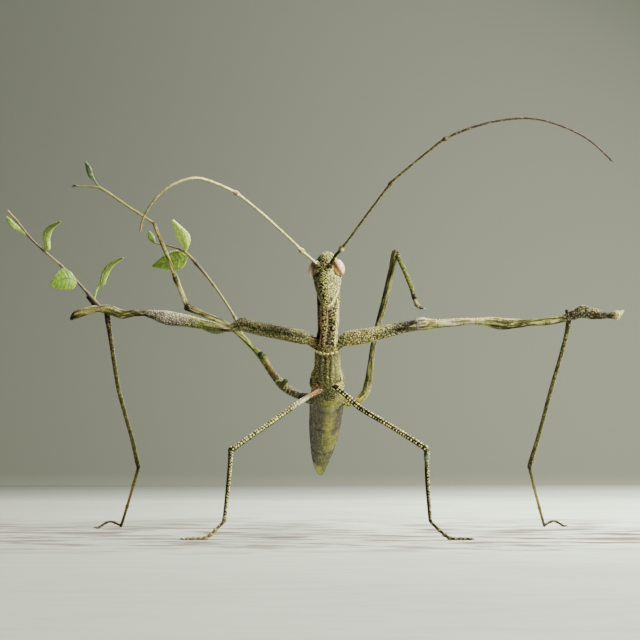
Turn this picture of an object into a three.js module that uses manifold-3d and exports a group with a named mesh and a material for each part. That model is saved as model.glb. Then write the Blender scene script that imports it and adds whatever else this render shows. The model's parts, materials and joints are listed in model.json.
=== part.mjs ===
/**
 * A life-size stick insect, standing on its front and middle feet with both hind legs raised.
 *
 * Millimetres, +Z up. The insect faces -Y, so its own left is +X. Sizes and places are given in
 * the body's frame: X = 0 is the middle of the thorax, Y = 0 is just in front of the shoulders
 * and Z = 0 is the ground. The finished group is centred over its own box, on the ground.
 */
import * as THREE from 'three';
import { mergeVertices } from 'three/addons/utils/BufferGeometryUtils.js';
import Module from 'manifold-3d';

const wasm = await Module();
wasm.setup();

// ---------------------------------------------------------------- driving dimensions

const JOINT_GAP = 0.2; // left between a part and the one that it grows from
const WELD = 1e-4; // vertices nearer than this are one
const GROUND_SIZE = 400;
const GROUND_DEPTH = 20;

const SIDES = { trunk: 12, head: 12, arm: 9, leg: 7, fine: 6, leaf: 6, claw: 5 };
const ROUND_END = [35, 68]; // degrees, where a well rounded end has its rings
const BLUNT_END = [52]; // and a small one
const CAP_REACH = 0.7; // how far a rounded end stands out, in radii

const EYE = { across: 3.0, deep: 3.6, tall: 4.3, lean: 18 };
const CLAW = { length: 1.3, bend: 0.78, girth: 0.52, tip: 0.4, spread: 24, droop: 0.35, sunk: 0.02 };
const LEAF_THICKNESS = 0.5;
const EYE_SIDES = [12, 7]; // around and from pole to pole

const SIDEWAYS = new THREE.Vector3(1, 0, 0);
const BACKWARDS = new THREE.Vector3(0, 1, 0);
const ASLANT = new THREE.Vector3(0.4, 0.8, 0.45);
const UP = new THREE.Vector3(0, 0, 1);

/** A station on a limb: where its middle lies, how wide it is there and how deep. */
const at = (x, y, z, girth, depth = girth) => ({ middle: new THREE.Vector3(x, y, z), girth, depth });

// Head, from the crown down the face to the mouth.
const HEAD = [
  at(0.0, -2.0, 69.3, 3.8, 3.4),
  at(0.0, -3.2, 68.0, 5.8, 5.5),
  at(0.0, -4.4, 65.4, 7.0, 6.4),
  at(0.1, -5.4, 62.4, 6.6, 6.0),
  at(0.1, -6.3, 59.8, 5.4, 5.0),
  at(0.1, -7.0, 58.0, 4.1, 3.8),
  at(0.1, -7.4, 57.1, 2.9, 2.8),
];
const EYES = {
  right: new THREE.Vector3(-3.1, -4.7, 66.3),
  left: new THREE.Vector3(2.85, -4.7, 66.6),
};

// Prothorax, the upright neck behind the head.
const NECK = [
  at(0.1, -1.4, 65.2, 3.0, 2.8),
  at(0.1, 0.3, 63.6, 4.1, 3.8),
  at(0.2, 1.2, 60.6, 4.9, 4.6),
  at(0.3, 1.9, 56.4, 5.3, 5.0),
  at(0.3, 2.8, 51.5, 5.2, 5.2),
  at(0.1, 3.4, 48.4, 5.8, 5.4),
];

// The rest of the trunk, from the collar back to the tail.
const TRUNK = [
  at(0.1, 3.7, 47.6, 6.5, 5.6),
  at(0.1, 6.0, 45.0, 6.2, 5.4),
  at(0.1, 9.5, 41.6, 6.5, 5.8),
  at(0.1, 13.5, 38.6, 7.4, 6.4),
  at(0.1, 19.0, 36.0, 8.4, 7.0),
  at(0.1, 29.5, 34.2, 9.3, 7.6),
  at(-0.1, 44.0, 31.0, 9.0, 7.4),
  at(-0.5, 59.0, 27.0, 8.5, 7.0),
  at(-0.9, 75.0, 22.4, 7.2, 6.0),
  at(-1.4, 88.0, 18.4, 5.4, 4.6),
  at(-1.6, 96.0, 15.6, 3.6, 3.2),
  at(-1.5, 100.2, 13.8, 2.0, 1.8),
];
const TRUNK_LENGTHS = {
  mesothorax: [0, 4],
  metathorax: [4, 5],
  abdomen_front: [5, 7],
  abdomen_middle: [7, 8],
  abdomen_tip: [8, 11],
};

// Feelers, root to tip, with a knot at each joint. Each is divided at the stations named after it.
const FEELERS = {
  right: [
    at(-2.4, -7.6, 67.3, 0.9), at(-4.5, -9.4, 69.0, 0.8), at(-6.2, -10.4, 70.4, 1.3),
    at(-7.8, -11.4, 72.0, 0.7), at(-15.7, -16.0, 79.0, 0.7), at(-20.4, -18.4, 82.7, 0.7),
    at(-22.1, -19.2, 83.9, 1.2), at(-23.9, -20.0, 84.8, 0.7), at(-31.1, -23.0, 87.1, 0.7),
    at(-35.4, -23.5, 86.3, 0.65), at(-39.6, -23.0, 84.0, 0.6), at(-43.0, -22.0, 80.2, 0.55),
    at(-44.5, -21.0, 77.6, 0.5), at(-45.4, -20.0, 74.5, 0.5),
  ],
  left: [
    at(0.8, -7.8, 67.2, 0.9), at(2.1, -9.4, 69.4, 0.8), at(3.5, -10.4, 70.8, 1.3),
    at(5.7, -11.4, 73.6, 0.7), at(9.2, -13.2, 78.3, 0.7), at(13.8, -15.4, 84.5, 0.7),
    at(15.6, -16.2, 86.5, 1.2), at(17.8, -17.0, 88.6, 0.7), at(27.0, -19.6, 96.0, 0.7),
    at(28.9, -20.0, 97.1, 1.1), at(31.2, -20.4, 98.3, 0.7), at(35.9, -21.0, 99.9, 0.65),
    at(42.9, -21.0, 101.5, 0.6), at(50.2, -20.0, 101.9, 0.55), at(58.0, -18.0, 100.0, 0.52),
    at(64.5, -16.0, 96.8, 0.5), at(70.0, -14.0, 92.1, 0.5),
  ],
};
const FEELER_LENGTHS = {
  right: { base: [0, 6], middle: [6, 9], tip: [9, 13] },
  left: { base: [0, 6], middle: [6, 11], tip: [11, 16] },
};

// Legs, each segment from where it leaves the one before it.
const LEGS = {
  foreleg_right: {
    coxa: [at(-1.8, 3.6, 47.5, 2.8), at(-4.3, 3.0, 49.0, 2.8)],
    femur: [
      at(-4.2, 2.9, 49.1, 2.7), at(-6.0, 2.5, 49.6, 3.8), at(-11.8, 2.0, 50.8, 3.9),
      at(-17.9, 2.0, 51.9, 3.6), at(-21.2, 2.0, 52.6, 3.3), at(-24.8, 2.0, 51.9, 2.1),
      at(-28.6, 2.0, 52.3, 2.4), at(-34.9, 2.0, 53.6, 3.1), at(-40.2, 2.0, 54.4, 3.7),
      at(-44.5, 2.0, 55.4, 2.1), at(-47.9, 2.2, 55.7, 1.8), at(-51.6, 2.8, 55.4, 2.4),
      at(-54.5, 3.0, 56.4, 2.6), at(-57.5, 3.0, 56.8, 2.0), at(-60.8, 3.0, 56.1, 2.2),
      at(-63.2, 3.0, 55.2, 2.2), at(-64.3, 3.0, 54.3, 1.0),
    ],
    tibia: [
      at(-55.4, 3.6, 55.6, 1.7), at(-54.6, 5.6, 49.4, 1.2), at(-53.3, 13.5, 37.2, 1.1),
      at(-51.9, 19.0, 30.2, 1.1), at(-50.6, 25.5, 23.7, 1.1), at(-49.5, 32.0, 16.7, 1.4),
    ],
    basitarsus: [at(-49.5, 32.0, 16.4, 1.1), at(-52.0, 40.0, 9.5, 1.0), at(-55.4, 49.2, 0.3, 1.0)],
    foot: [at(-55.4, 49.0, 0.5, 0.75), at(-58.2, 46.2, 1.7, 0.7), at(-61.0, 43.2, 0.2, 0.75)],
    claw_heading: new THREE.Vector3(-0.72, -0.69, 0.02),
  },
  foreleg_left: {
    coxa: [at(2.0, 3.6, 47.5, 2.8), at(4.0, 3.0, 48.8, 2.9)],
    femur: [
      at(3.8, 2.9, 48.8, 3.0), at(5.4, 2.5, 49.2, 4.2), at(11.1, 2.0, 50.2, 3.9),
      at(16.1, 2.0, 51.4, 3.4), at(20.4, 2.0, 52.3, 3.1), at(23.9, 2.0, 52.9, 3.4),
      at(27.6, 2.0, 53.0, 2.3), at(31.9, 2.0, 53.3, 2.1), at(37.1, 2.0, 53.6, 1.7),
      at(41.0, 2.0, 53.4, 2.7), at(44.1, 2.0, 53.0, 3.1), at(47.6, 2.0, 53.1, 2.4),
      at(51.0, 2.0, 53.3, 1.9), at(55.5, 2.4, 53.6, 2.1), at(59.4, 2.8, 54.3, 2.0),
      at(61.8, 3.0, 55.2, 2.6), at(64.2, 3.0, 55.9, 3.1), at(67.0, 3.0, 55.5, 3.0),
      at(70.6, 3.0, 55.1, 1.8), at(73.1, 3.0, 55.2, 2.4),
    ],
    tibia: [
      at(61.0, 3.6, 54.6, 1.6), at(60.6, 5.0, 51.4, 1.2), at(59.5, 9.0, 45.6, 1.1),
      at(57.6, 16.0, 37.0, 1.1), at(55.4, 26.0, 25.5, 1.1), at(53.4, 34.0, 16.5, 1.4),
    ],
    basitarsus: [at(53.5, 34.0, 16.3, 1.1), at(56.0, 43.0, 8.9, 1.0), at(58.9, 51.0, 0.3, 1.0)],
    foot: [at(58.9, 51.0, 0.5, 0.75), at(61.7, 52.4, 1.6, 0.7), at(64.4, 53.2, 0.2, 0.75)],
    claw_heading: new THREE.Vector3(0.95, 0.3, 0.02),
  },
  midleg_right: {
    coxa: [at(-2.4, 14.0, 39.8, 2.4), at(-2.9, 12.2, 38.0, 2.9), at(-2.1, 10.8, 36.6, 2.2)],
    femur: [
      at(-2.0, 10.2, 36.4, 1.5), at(-4.5, 8.0, 34.9, 1.5), at(-6.8, 5.2, 33.4, 1.6),
      at(-15.3, -4.6, 27.2, 1.4), at(-21.6, -10.6, 22.8, 1.4), at(-23.6, -12.0, 21.4, 1.6),
    ],
    tibia: [
      at(-23.6, -12.0, 21.3, 1.2), at(-23.7, -13.2, 18.4, 1.1), at(-24.1, -15.5, 12.8, 1.05),
      at(-24.9, -18.5, 4.4, 0.9),
    ],
    foot: [
      at(-24.9, -18.5, 4.3, 0.7), at(-27.1, -19.6, 2.2, 0.7), at(-29.4, -20.8, 0.35, 0.85),
      at(-32.2, -21.5, 0.24, 0.72), at(-34.2, -22.0, 0.22, 0.66),
    ],
    claw_heading: new THREE.Vector3(-0.97, -0.22, 0.03),
  },
  midleg_left: {
    coxa: [at(2.6, 14.0, 40.0, 2.4), at(3.1, 12.2, 38.4, 2.9), at(2.2, 10.8, 37.4, 2.2)],
    femur: [
      at(1.9, 10.2, 37.5, 1.5), at(4.8, 8.0, 35.1, 1.5), at(7.9, 5.2, 32.2, 1.6),
      at(16.4, -4.0, 26.9, 1.4), at(22.4, -10.4, 23.0, 1.5), at(24.4, -12.0, 21.6, 1.6),
    ],
    tibia: [
      at(24.4, -12.0, 21.5, 1.2), at(24.3, -13.2, 18.4, 1.1), at(24.4, -15.5, 12.8, 1.05),
      at(24.9, -18.5, 4.4, 0.9),
    ],
    foot: [
      at(24.9, -18.5, 4.3, 0.7), at(27.1, -19.5, 2.2, 0.7), at(29.6, -20.8, 0.35, 0.85),
      at(32.1, -21.5, 0.24, 0.72), at(34.1, -22.0, 0.22, 0.66),
    ],
    claw_heading: new THREE.Vector3(0.97, -0.22, 0.03),
  },
  hindleg_right: {
    coxa: [at(-3.0, 27.0, 34.0, 2.8), at(-6.0, 26.4, 34.9, 2.5)],
    femur: [
      at(-5.8, 26.4, 34.8, 2.3), at(-8.2, 26.4, 35.8, 2.5), at(-11.4, 27.0, 37.8, 2.6),
      at(-14.2, 27.0, 41.2, 2.2), at(-17.1, 26.0, 45.3, 1.9), at(-20.8, 24.0, 49.4, 1.7),
      at(-25.4, 21.0, 53.3, 1.6), at(-31.4, 17.0, 56.0, 1.8), at(-35.8, 14.2, 57.8, 2.4),
    ],
    tibia: [
      at(-36.0, 14.0, 58.4, 1.5), at(-37.2, 13.2, 61.6, 1.4), at(-38.5, 13.0, 64.8, 1.6),
      at(-39.4, 12.8, 67.2, 1.2), at(-41.4, 12.0, 72.3, 1.15), at(-44.1, 11.0, 78.9, 1.1),
    ],
    foot: [
      at(-44.1, 11.0, 79.0, 0.9), at(-51.1, 12.0, 83.6, 0.75), at(-58.4, 14.0, 88.4, 0.9),
      at(-60.6, 14.6, 88.8, 0.55), at(-64.4, 15.8, 89.1, 0.5),
    ],
    claw_heading: new THREE.Vector3(-0.95, 0.28, 0.05),
  },
  hindleg_left: {
    coxa: [at(3.0, 27.2, 33.8, 2.8), at(6.2, 27.0, 33.6, 2.5)],
    femur: [
      at(6.0, 27.0, 33.6, 2.3), at(8.4, 27.0, 34.2, 2.5), at(10.0, 26.8, 35.9, 2.4),
      at(10.8, 26.0, 38.8, 2.2), at(11.4, 25.0, 43.2, 1.7), at(12.1, 24.0, 48.4, 1.5),
      at(13.3, 22.4, 53.6, 1.6), at(15.4, 20.0, 61.5, 1.9), at(16.6, 18.2, 67.5, 1.6),
      at(17.7, 17.0, 72.1, 2.3),
    ],
    tibia: [
      at(17.9, 17.0, 72.0, 1.4), at(18.8, 16.5, 69.8, 1.2), at(19.9, 16.0, 67.4, 1.15),
      at(21.9, 14.5, 62.2, 1.2), at(22.4, 14.0, 60.2, 1.4),
    ],
    foot: [at(22.4, 14.0, 60.1, 1.05), at(23.0, 13.5, 58.4, 1.0), at(24.1, 13.0, 57.4, 0.7)],
    claw_heading: new THREE.Vector3(0.93, -0.3, -0.18),
  },
};

// The leafy sprig on the right foreleg and the one behind the right hind leg.
const SPRIGS = {
  arm_sprig: {
    grows: 'foreleg_right_femur',
    twig: [
      at(-57.2, 3.0, 57.3, 1.2), at(-60.4, 3.0, 60.9, 0.75), at(-63.0, 3.0, 63.8, 0.65),
      at(-66.8, 2.5, 67.6, 0.6), at(-71.2, 2.0, 71.4, 0.55), at(-74.3, 1.5, 74.3, 0.55),
      at(-77.8, 1.0, 78.7, 0.5), at(-80.1, 1.0, 81.3, 0.5),
    ],
    leaves: [
      { route: [at(-75.2, 1.4, 75.1, 0.5), at(-77.0, 1.2, 76.5, 0.8), at(-78.5, 1.0, 77.5, 1.7),
        at(-79.6, 1.0, 78.6, 1.4), at(-80.6, 1.0, 79.9, 0.5)], facing: BACKWARDS },
      { route: [at(-71.0, 2.0, 71.3, 0.5), at(-70.3, 1.4, 72.2, 1.9), at(-70.5, 1.0, 74.7, 2.4),
        at(-69.4, 0.2, 76.9, 1.7), at(-66.7, -1.0, 78.5, 0.5)], facing: ASLANT },
      { route: [at(-62.9, 2.8, 63.6, 0.5), at(-64.0, 1.4, 63.9, 4.6), at(-65.6, 0.9, 64.2, 5.6),
        at(-67.6, 0.5, 63.5, 4.0), at(-69.4, 0.2, 62.6, 0.6)], facing: BACKWARDS },
      { route: [at(-58.7, 2.9, 59.0, 0.5), at(-57.5, 2.4, 62.4, 0.5), at(-56.5, 2.0, 63.2, 1.5),
        at(-55.9, 1.6, 65.2, 2.0), at(-54.2, 1.0, 67.7, 1.5), at(-51.1, 0.2, 69.5, 0.5)],
      facing: ASLANT },
    ],
  },
  hind_sprig: {
    grows: 'hindleg_right_femur',
    twig: [
      at(-21.6, 24.6, 49.8, 0.9), at(-24.1, 30.0, 55.7, 0.7), at(-29.4, 36.0, 63.9, 0.65),
      at(-35.0, 42.0, 70.9, 0.9), at(-38.4, 44.0, 74.3, 0.6), at(-42.6, 45.0, 75.8, 0.55),
      at(-46.2, 46.0, 76.6, 0.5),
    ],
    leaves: [
      { route: [at(-38.0, 43.9, 74.2, 0.5), at(-37.9, 43.0, 75.9, 2.8), at(-38.9, 42.0, 78.6, 4.2),
        at(-41.2, 40.2, 82.4, 0.6)], facing: ASLANT },
      { route: [at(-37.3, 43.4, 73.2, 0.6), at(-39.4, 44.6, 72.2, 5.0), at(-42.4, 46.0, 71.5, 5.4),
        at(-47.0, 48.0, 70.5, 0.6)], facing: BACKWARDS },
      { route: [at(-46.4, 46.0, 76.7, 0.5), at(-47.3, 46.0, 78.1, 1.9), at(-47.9, 45.2, 79.8, 0.6)],
        facing: BACKWARDS },
      { route: [at(-23.4, 28.4, 53.9, 0.5), at(-27.2, 28.0, 52.4, 1.8), at(-30.2, 28.4, 52.5, 2.4),
        at(-33.9, 29.0, 53.6, 0.6)], facing: ASLANT },
    ],
  },
};
const FOOT_LEAF = {
  grows: 'hindleg_right_foot',
  route: [at(-58.6, 14.2, 88.6, 0.5), at(-59.6, 14.2, 90.2, 0.5), at(-60.6, 14.2, 91.6, 1.4),
    at(-61.1, 14.0, 93.2, 1.6), at(-62.0, 14.0, 95.2, 0.5)],
  facing: BACKWARDS,
};

// Buds and broken stubs that stand out from a limb.
const STUBS = {
  foreleg_right_femur: [[at(-58.2, 3.2, 57.2, 0.9), at(-60.3, 3.4, 59.8, 0.7)]],
  foreleg_left_femur: [[at(60.4, 2.8, 55.4, 0.7), at(60.2, 2.6, 56.4, 0.7)],
    [at(73.6, 2.9, 55.6, 1.4), at(74.5, 2.8, 56.3, 0.7)]],
  hindleg_right_femur: [[at(-13.4, 26.6, 40.2, 1.4), at(-15.6, 24.6, 44.0, 1.2), at(-17.3, 23.8, 46.1, 1.9)],
    [at(-11.4, 26.2, 38.2, 1.2), at(-10.6, 25.2, 39.2, 1.1)]],
};

// ---------------------------------------------------------------- finishes

const finish = (color, roughness) => new THREE.MeshStandardMaterial({ color, roughness, metalness: 0 });
const FINISHES = {
  shell: finish('#8b8f5c', 0.7),
  neck: finish('#8a6c4e', 0.7),
  belly: finish('#87894f', 0.65),
  eye: finish('#d8a992', 0.3),
  feeler: finish('#a9a27c', 0.6),
  claw: finish('#5c4b3c', 0.5),
  twig: finish('#5d4d46', 0.7),
  leaf: finish('#8cba42', 0.55),
};

// ---------------------------------------------------------------- solids

/** Turns a closed geometry into a solid that can be joined and cut. */
function solid(geometry) {
  geometry.deleteAttribute('normal');
  geometry.deleteAttribute('uv');
  const shell = mergeVertices(geometry, WELD);
  return new wasm.Manifold(new wasm.Mesh({
    numProp: 3,
    vertProperties: new Float32Array(shell.attributes.position.array),
    triVerts: new Uint32Array(shell.index.array),
  }));
}

/** Lists the rings of a sweep: where each lies on the route and how its end is rounded. */
function ringsBetween(from, to, between, ends) {
  const caps = ends.map((angle) => THREE.MathUtils.degToRad(angle));
  const rings = caps.map((turn) => ({ place: from, out: -Math.sin(turn), shrink: Math.cos(turn) })).reverse();
  for (let step = 0; step <= (to - from) * between; step += 1) {
    rings.push({ place: from + step / between, out: 0, shrink: 1 });
  }
  return rings.concat(caps.map((turn) => ({ place: to, out: Math.sin(turn), shrink: Math.cos(turn) })));
}

/**
 * Sweeps an oval along a smooth route through stations, with rounded ends.
 * The oval's girth lies along `across`, its depth square to that. `swell` grows it all over.
 */
function sweep(route, {
  sides = SIDES.leg, between = 1, across = BACKWARDS, ends = BLUNT_END, span, swell = 0,
} = {}) {
  const last = route.length - 1;
  const [from, to] = span ?? [0, last];
  const line = new THREE.CatmullRomCurve3(route.map((station) => station.middle));
  const sizes = new THREE.CatmullRomCurve3(
    route.map(({ girth, depth }) => new THREE.Vector3(girth / 2, depth / 2, 0)), false, 'catmullrom', 0.5,
  );
  const rings = ringsBetween(from, to, between, ends);
  const frames = rings.map(({ place, out, shrink }) => {
    const along = line.getTangent(place / last);
    const wide = across.clone().addScaledVector(along, -across.dot(along)).normalize();
    const deep = along.clone().cross(wide);
    const size = sizes.getPoint(place / last);
    const reach = (Math.min(size.x, size.y) * CAP_REACH + swell) * out;
    const middle = line.getPoint(place / last).addScaledVector(along, reach);
    return {
      middle,
      wide: wide.multiplyScalar((size.x + swell) * shrink),
      deep: deep.multiplyScalar((size.y + swell) * shrink),
    };
  });
  const geometry = new THREE.CylinderGeometry(1, 1, 1, sides, rings.length - 1);
  const spots = geometry.attributes.position;
  const spot = new THREE.Vector3();
  for (let index = 0; index < spots.count; index += 1) {
    spot.fromBufferAttribute(spots, index);
    const { middle, wide, deep } = frames[Math.round((0.5 - spot.y) * (rings.length - 1))];
    const moved = middle.clone().addScaledVector(wide, spot.x).addScaledVector(deep, spot.z);
    spots.setXYZ(index, moved.x, moved.y, moved.z);
  }
  return solid(geometry);
}

/** An eyeball, leaning in towards the crown. */
function eye(side, swell) {
  const ball = new THREE.SphereGeometry(0.5, ...EYE_SIDES);
  ball.scale(EYE.across + 2 * swell, EYE.deep + 2 * swell, EYE.tall + 2 * swell);
  const lean = THREE.MathUtils.degToRad(side === 'left' ? -EYE.lean : EYE.lean);
  ball.rotateY(lean);
  ball.translate(...EYES[side].toArray());
  return solid(ball);
}

/** A pair of hooks that spread from the end of a foot. */
function claws(foot, heading, swell) {
  const root = foot[foot.length - 1];
  const hooks = [-1, 1].map((side) => {
    const out = heading.clone().applyAxisAngle(UP, THREE.MathUtils.degToRad(side * CLAW.spread));
    const lift = Math.max(CLAW.tip / 2 - CLAW.sunk, root.middle.z - CLAW.droop);
    const bend = root.middle.clone().addScaledVector(out, CLAW.bend);
    const tip = root.middle.clone().addScaledVector(out, CLAW.length);
    tip.z = Math.min(tip.z, lift);
    const route = [[root.middle, CLAW.girth], [bend, CLAW.girth], [tip, CLAW.tip]]
      .map(([middle, girth]) => ({ middle, girth, depth: girth }));
    return sweep(route, { sides: SIDES.claw, swell });
  });
  return hooks[0].add(hooks[1]);
}

/** A leaf with its stalk: a thin blade whose width lies square to the way it faces. */
function leaf({ route, facing }, swell) {
  const blade = route.map(({ middle, girth }) => ({ middle, girth, depth: LEAF_THICKNESS }));
  const along = route[route.length - 1].middle.clone().sub(route[0].middle);
  const across = along.cross(facing).normalize();
  return sweep(blade, { sides: SIDES.leaf, between: 2, across, swell });
}

// ---------------------------------------------------------------- the model

const insect = new THREE.Group();
const shapes = new Map();
const ground = solid(
  new THREE.BoxGeometry(GROUND_SIZE, GROUND_SIZE, GROUND_DEPTH).translate(0, 0, -GROUND_DEPTH / 2),
);

/** Keeps the largest of a solid's separate pieces. */
function largest(body) {
  return body.decompose().reduce((best, piece) => (piece.volume() > best.volume() ? piece : best));
}

/** Adds a named part, cut clear of the parts that it meets and level with the ground. */
function addPart(name, finishName, shape, meets = []) {
  const cut = meets.reduce(
    (body, other) => body.subtract(shapes.get(other)(JOINT_GAP)), shape(0),
  ).subtract(ground);
  const { vertProperties, triVerts } = largest(cut).getMesh();
  const geometry = new THREE.BufferGeometry();
  geometry.setAttribute('position', new THREE.BufferAttribute(vertProperties, 3));
  geometry.setIndex(new THREE.BufferAttribute(triVerts, 1));
  const mesh = new THREE.Mesh(geometry, FINISHES[finishName]);
  mesh.name = name;
  shapes.set(name, shape);
  insect.add(mesh);
}

function addHead() {
  for (const side of ['right', 'left']) {
    addPart(`eye_${side}`, 'eye', (swell) => eye(side, swell));
  }
  addPart('head', 'shell',
    (swell) => sweep(HEAD, { sides: SIDES.head, between: 2, across: SIDEWAYS, ends: ROUND_END, swell }),
    ['eye_right', 'eye_left']);
  for (const side of ['right', 'left']) {
    let before = 'head';
    for (const [length, span] of Object.entries(FEELER_LENGTHS[side])) {
      const name = `feeler_${side}_${length}`;
      const meets = before === 'head' ? ['head', `eye_${side}`] : [before];
      addPart(name, 'feeler', (swell) => sweep(FEELERS[side], { sides: SIDES.fine, span, swell }), meets);
      before = name;
    }
  }
}

function addTrunk() {
  addPart('prothorax', 'neck',
    (swell) => sweep(NECK, { sides: SIDES.trunk, between: 2, across: SIDEWAYS, swell }), ['head']);
  let before = 'prothorax';
  for (const [name, span] of Object.entries(TRUNK_LENGTHS)) {
    const finishName = name.startsWith('abdomen') ? 'belly' : 'shell';
    addPart(name, finishName,
      (swell) => sweep(TRUNK, { sides: SIDES.trunk, between: 2, across: SIDEWAYS, span, swell }), [before]);
    before = name;
  }
}

function addLegs() {
  for (const [leg, { claw_heading: heading, ...segments }] of Object.entries(LEGS)) {
    const trunk = ['prothorax', 'mesothorax', 'metathorax', 'abdomen_front'];
    const before = [];
    for (const [segment, route] of Object.entries(segments)) {
      const name = `${leg}_${segment}`;
      const sides = leg.startsWith('foreleg') && segment === 'femur' ? SIDES.arm : SIDES.leg;
      const stubs = STUBS[name] ?? [];
      const shape = (swell) => stubs.reduce(
        (body, stub) => body.add(sweep(stub, { sides: SIDES.fine, swell })), sweep(route, { sides, swell }),
      );
      const meets = segment === 'coxa' || segment === 'femur' ? [...trunk, ...before] : before.slice(-1);
      addPart(name, 'shell', shape, meets);
      before.push(name);
    }
    addPart(`${leg}_claws`, 'claw', (swell) => claws(segments.foot, heading, swell), before.slice(-1));
  }
}

function addSprigs() {
  for (const [sprig, { grows, twig, leaves }] of Object.entries(SPRIGS)) {
    addPart(`${sprig}_twig`, 'twig', (swell) => sweep(twig, { sides: SIDES.fine, swell }), [grows]);
    leaves.forEach((blade, index) => {
      addPart(`${sprig}_leaf_${index + 1}`, 'leaf', (swell) => leaf(blade, swell), [`${sprig}_twig`, grows]);
    });
  }
  addPart('foot_leaf', 'leaf', (swell) => leaf(FOOT_LEAF, swell), [FOOT_LEAF.grows]);
}

addHead();
addTrunk();
addLegs();
addSprigs();

// The box of the whole insect is centred over the origin, and its feet stay on the ground.
const box = new THREE.Box3().setFromObject(insect);
const centre = box.getCenter(new THREE.Vector3());
insect.position.set(-centre.x, -centre.y, -box.min.z);

export default insect;
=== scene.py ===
"""A life-size stick insect: raised head, twig-like arms, lifted hind legs and the leafy sprigs it carries.

Sizes are in millimetres in the body's own frame: X = 0 is the middle of the thorax, Y = 0 is just in
front of the shoulders and Z = 0 is the ground. The insect faces -Y, and +X is its own left.
"""

from __future__ import annotations

import json
import logging
from dataclasses import dataclass, field
from enum import Enum

import bmesh
import bpy
import numpy as np
from mathutils import Matrix, Vector

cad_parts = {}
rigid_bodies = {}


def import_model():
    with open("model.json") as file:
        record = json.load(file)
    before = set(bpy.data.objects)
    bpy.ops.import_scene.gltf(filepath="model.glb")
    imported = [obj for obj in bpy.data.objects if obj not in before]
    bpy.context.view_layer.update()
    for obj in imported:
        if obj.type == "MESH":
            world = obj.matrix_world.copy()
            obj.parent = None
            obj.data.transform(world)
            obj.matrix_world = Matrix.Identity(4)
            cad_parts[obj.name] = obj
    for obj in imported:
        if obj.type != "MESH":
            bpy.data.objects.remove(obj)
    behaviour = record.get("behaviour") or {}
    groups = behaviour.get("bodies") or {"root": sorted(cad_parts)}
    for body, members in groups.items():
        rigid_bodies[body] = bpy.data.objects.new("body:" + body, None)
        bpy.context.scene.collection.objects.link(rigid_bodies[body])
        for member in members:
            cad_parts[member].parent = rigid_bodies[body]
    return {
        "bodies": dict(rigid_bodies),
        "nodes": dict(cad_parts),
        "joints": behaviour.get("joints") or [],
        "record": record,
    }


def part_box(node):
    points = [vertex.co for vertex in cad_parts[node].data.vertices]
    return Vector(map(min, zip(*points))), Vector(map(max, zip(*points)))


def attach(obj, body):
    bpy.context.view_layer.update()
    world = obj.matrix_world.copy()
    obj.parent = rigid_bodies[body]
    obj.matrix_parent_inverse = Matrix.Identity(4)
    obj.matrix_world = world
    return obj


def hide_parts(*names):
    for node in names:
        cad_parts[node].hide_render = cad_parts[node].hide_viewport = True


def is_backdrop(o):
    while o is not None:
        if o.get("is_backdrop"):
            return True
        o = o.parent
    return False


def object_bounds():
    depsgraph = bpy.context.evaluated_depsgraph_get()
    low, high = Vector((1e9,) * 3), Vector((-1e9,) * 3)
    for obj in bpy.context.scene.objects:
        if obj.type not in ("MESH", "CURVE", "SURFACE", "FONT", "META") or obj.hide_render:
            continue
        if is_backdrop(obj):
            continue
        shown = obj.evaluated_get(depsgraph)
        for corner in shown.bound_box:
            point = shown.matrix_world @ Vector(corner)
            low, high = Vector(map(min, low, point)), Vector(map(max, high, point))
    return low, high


MM = 0.001
LOG = logging.getLogger("stick_insect")

FRONT, BACK = (0.0, -1.0, 0.0), (0.0, 1.0, 0.0)
UP, DOWN = (0.0, 0.0, 1.0), (0.0, 0.0, -1.0)
LEFT, RIGHT = (1.0, 0.0, 0.0), (-1.0, 0.0, 0.0)
EYE_MIDDLE = Vector((-0.125, -4.7, 66.45))


class Shade(Enum):
    """The colours of the insect and its leaves, as sRGB."""

    OLIVE = (94, 92, 48)
    MOSS = (80, 87, 45)
    DARK = (36, 31, 18)
    EARTH = (62, 53, 32)
    GREY = (78, 76, 52)
    PALE = (152, 151, 94)
    CREAM = (225, 219, 146)
    BEIGE = (146, 132, 76)
    YELLOW = (168, 163, 66)
    LIME = (126, 134, 64)
    RUST = (120, 76, 36)
    ROSE = (186, 136, 90)
    PLUM = (72, 62, 54)
    LAVENDER = (146, 134, 126)
    CHALK = (226, 222, 196)
    TEAL = (70, 104, 86)
    BARK = (70, 54, 48)
    LEAF = (118, 152, 30)
    SPRING = (188, 216, 88)
    FRESH = (222, 250, 104)
    SHADY = (96, 112, 36)
    DEEP = (56, 72, 28)

    def linear(self) -> np.ndarray:
        """Returns the colour as scene-linear red, green and blue."""
        part = np.array(self.value, float) / 255.0
        return np.where(part <= 0.04045, part / 12.92, ((part + 0.055) / 1.055) ** 2.4)

    def rgba(self) -> tuple[float, ...]:
        """Returns the linear colour with a full alpha."""
        return (*self.linear().tolist(), 1.0)


# ------------------------------------------------------------------ routes and lofts


def glide(values: np.ndarray, gaps: np.ndarray, where: np.ndarray) -> np.ndarray:
    """Runs a smooth curve through a list of values.

    Args:
        values: one row for each station.
        gaps: how far apart neighbouring stations count as being.
        where: station numbers, with fractions, to read the curve at.

    Returns:
        One row for each entry of where.
    """
    step = np.diff(values, axis=0) / gaps[:, None]
    slope = np.empty_like(values)
    slope[0], slope[-1] = step[0], step[-1]
    slope[1:-1] = step[:-1] + step[1:] - (values[2:] - values[:-2]) / (gaps[:-1] + gaps[1:])[:, None]
    first = np.clip(where.astype(int), 0, len(gaps) - 1)
    t = (where - first)[:, None]
    gap = gaps[first][:, None]
    start = (1 + 2 * t) * (1 - t) ** 2 * values[first] + t * (1 - t) ** 2 * gap * slope[first]
    return start + t * t * (3 - 2 * t) * values[first + 1] + t * t * (t - 1) * gap * slope[first + 1]


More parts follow.
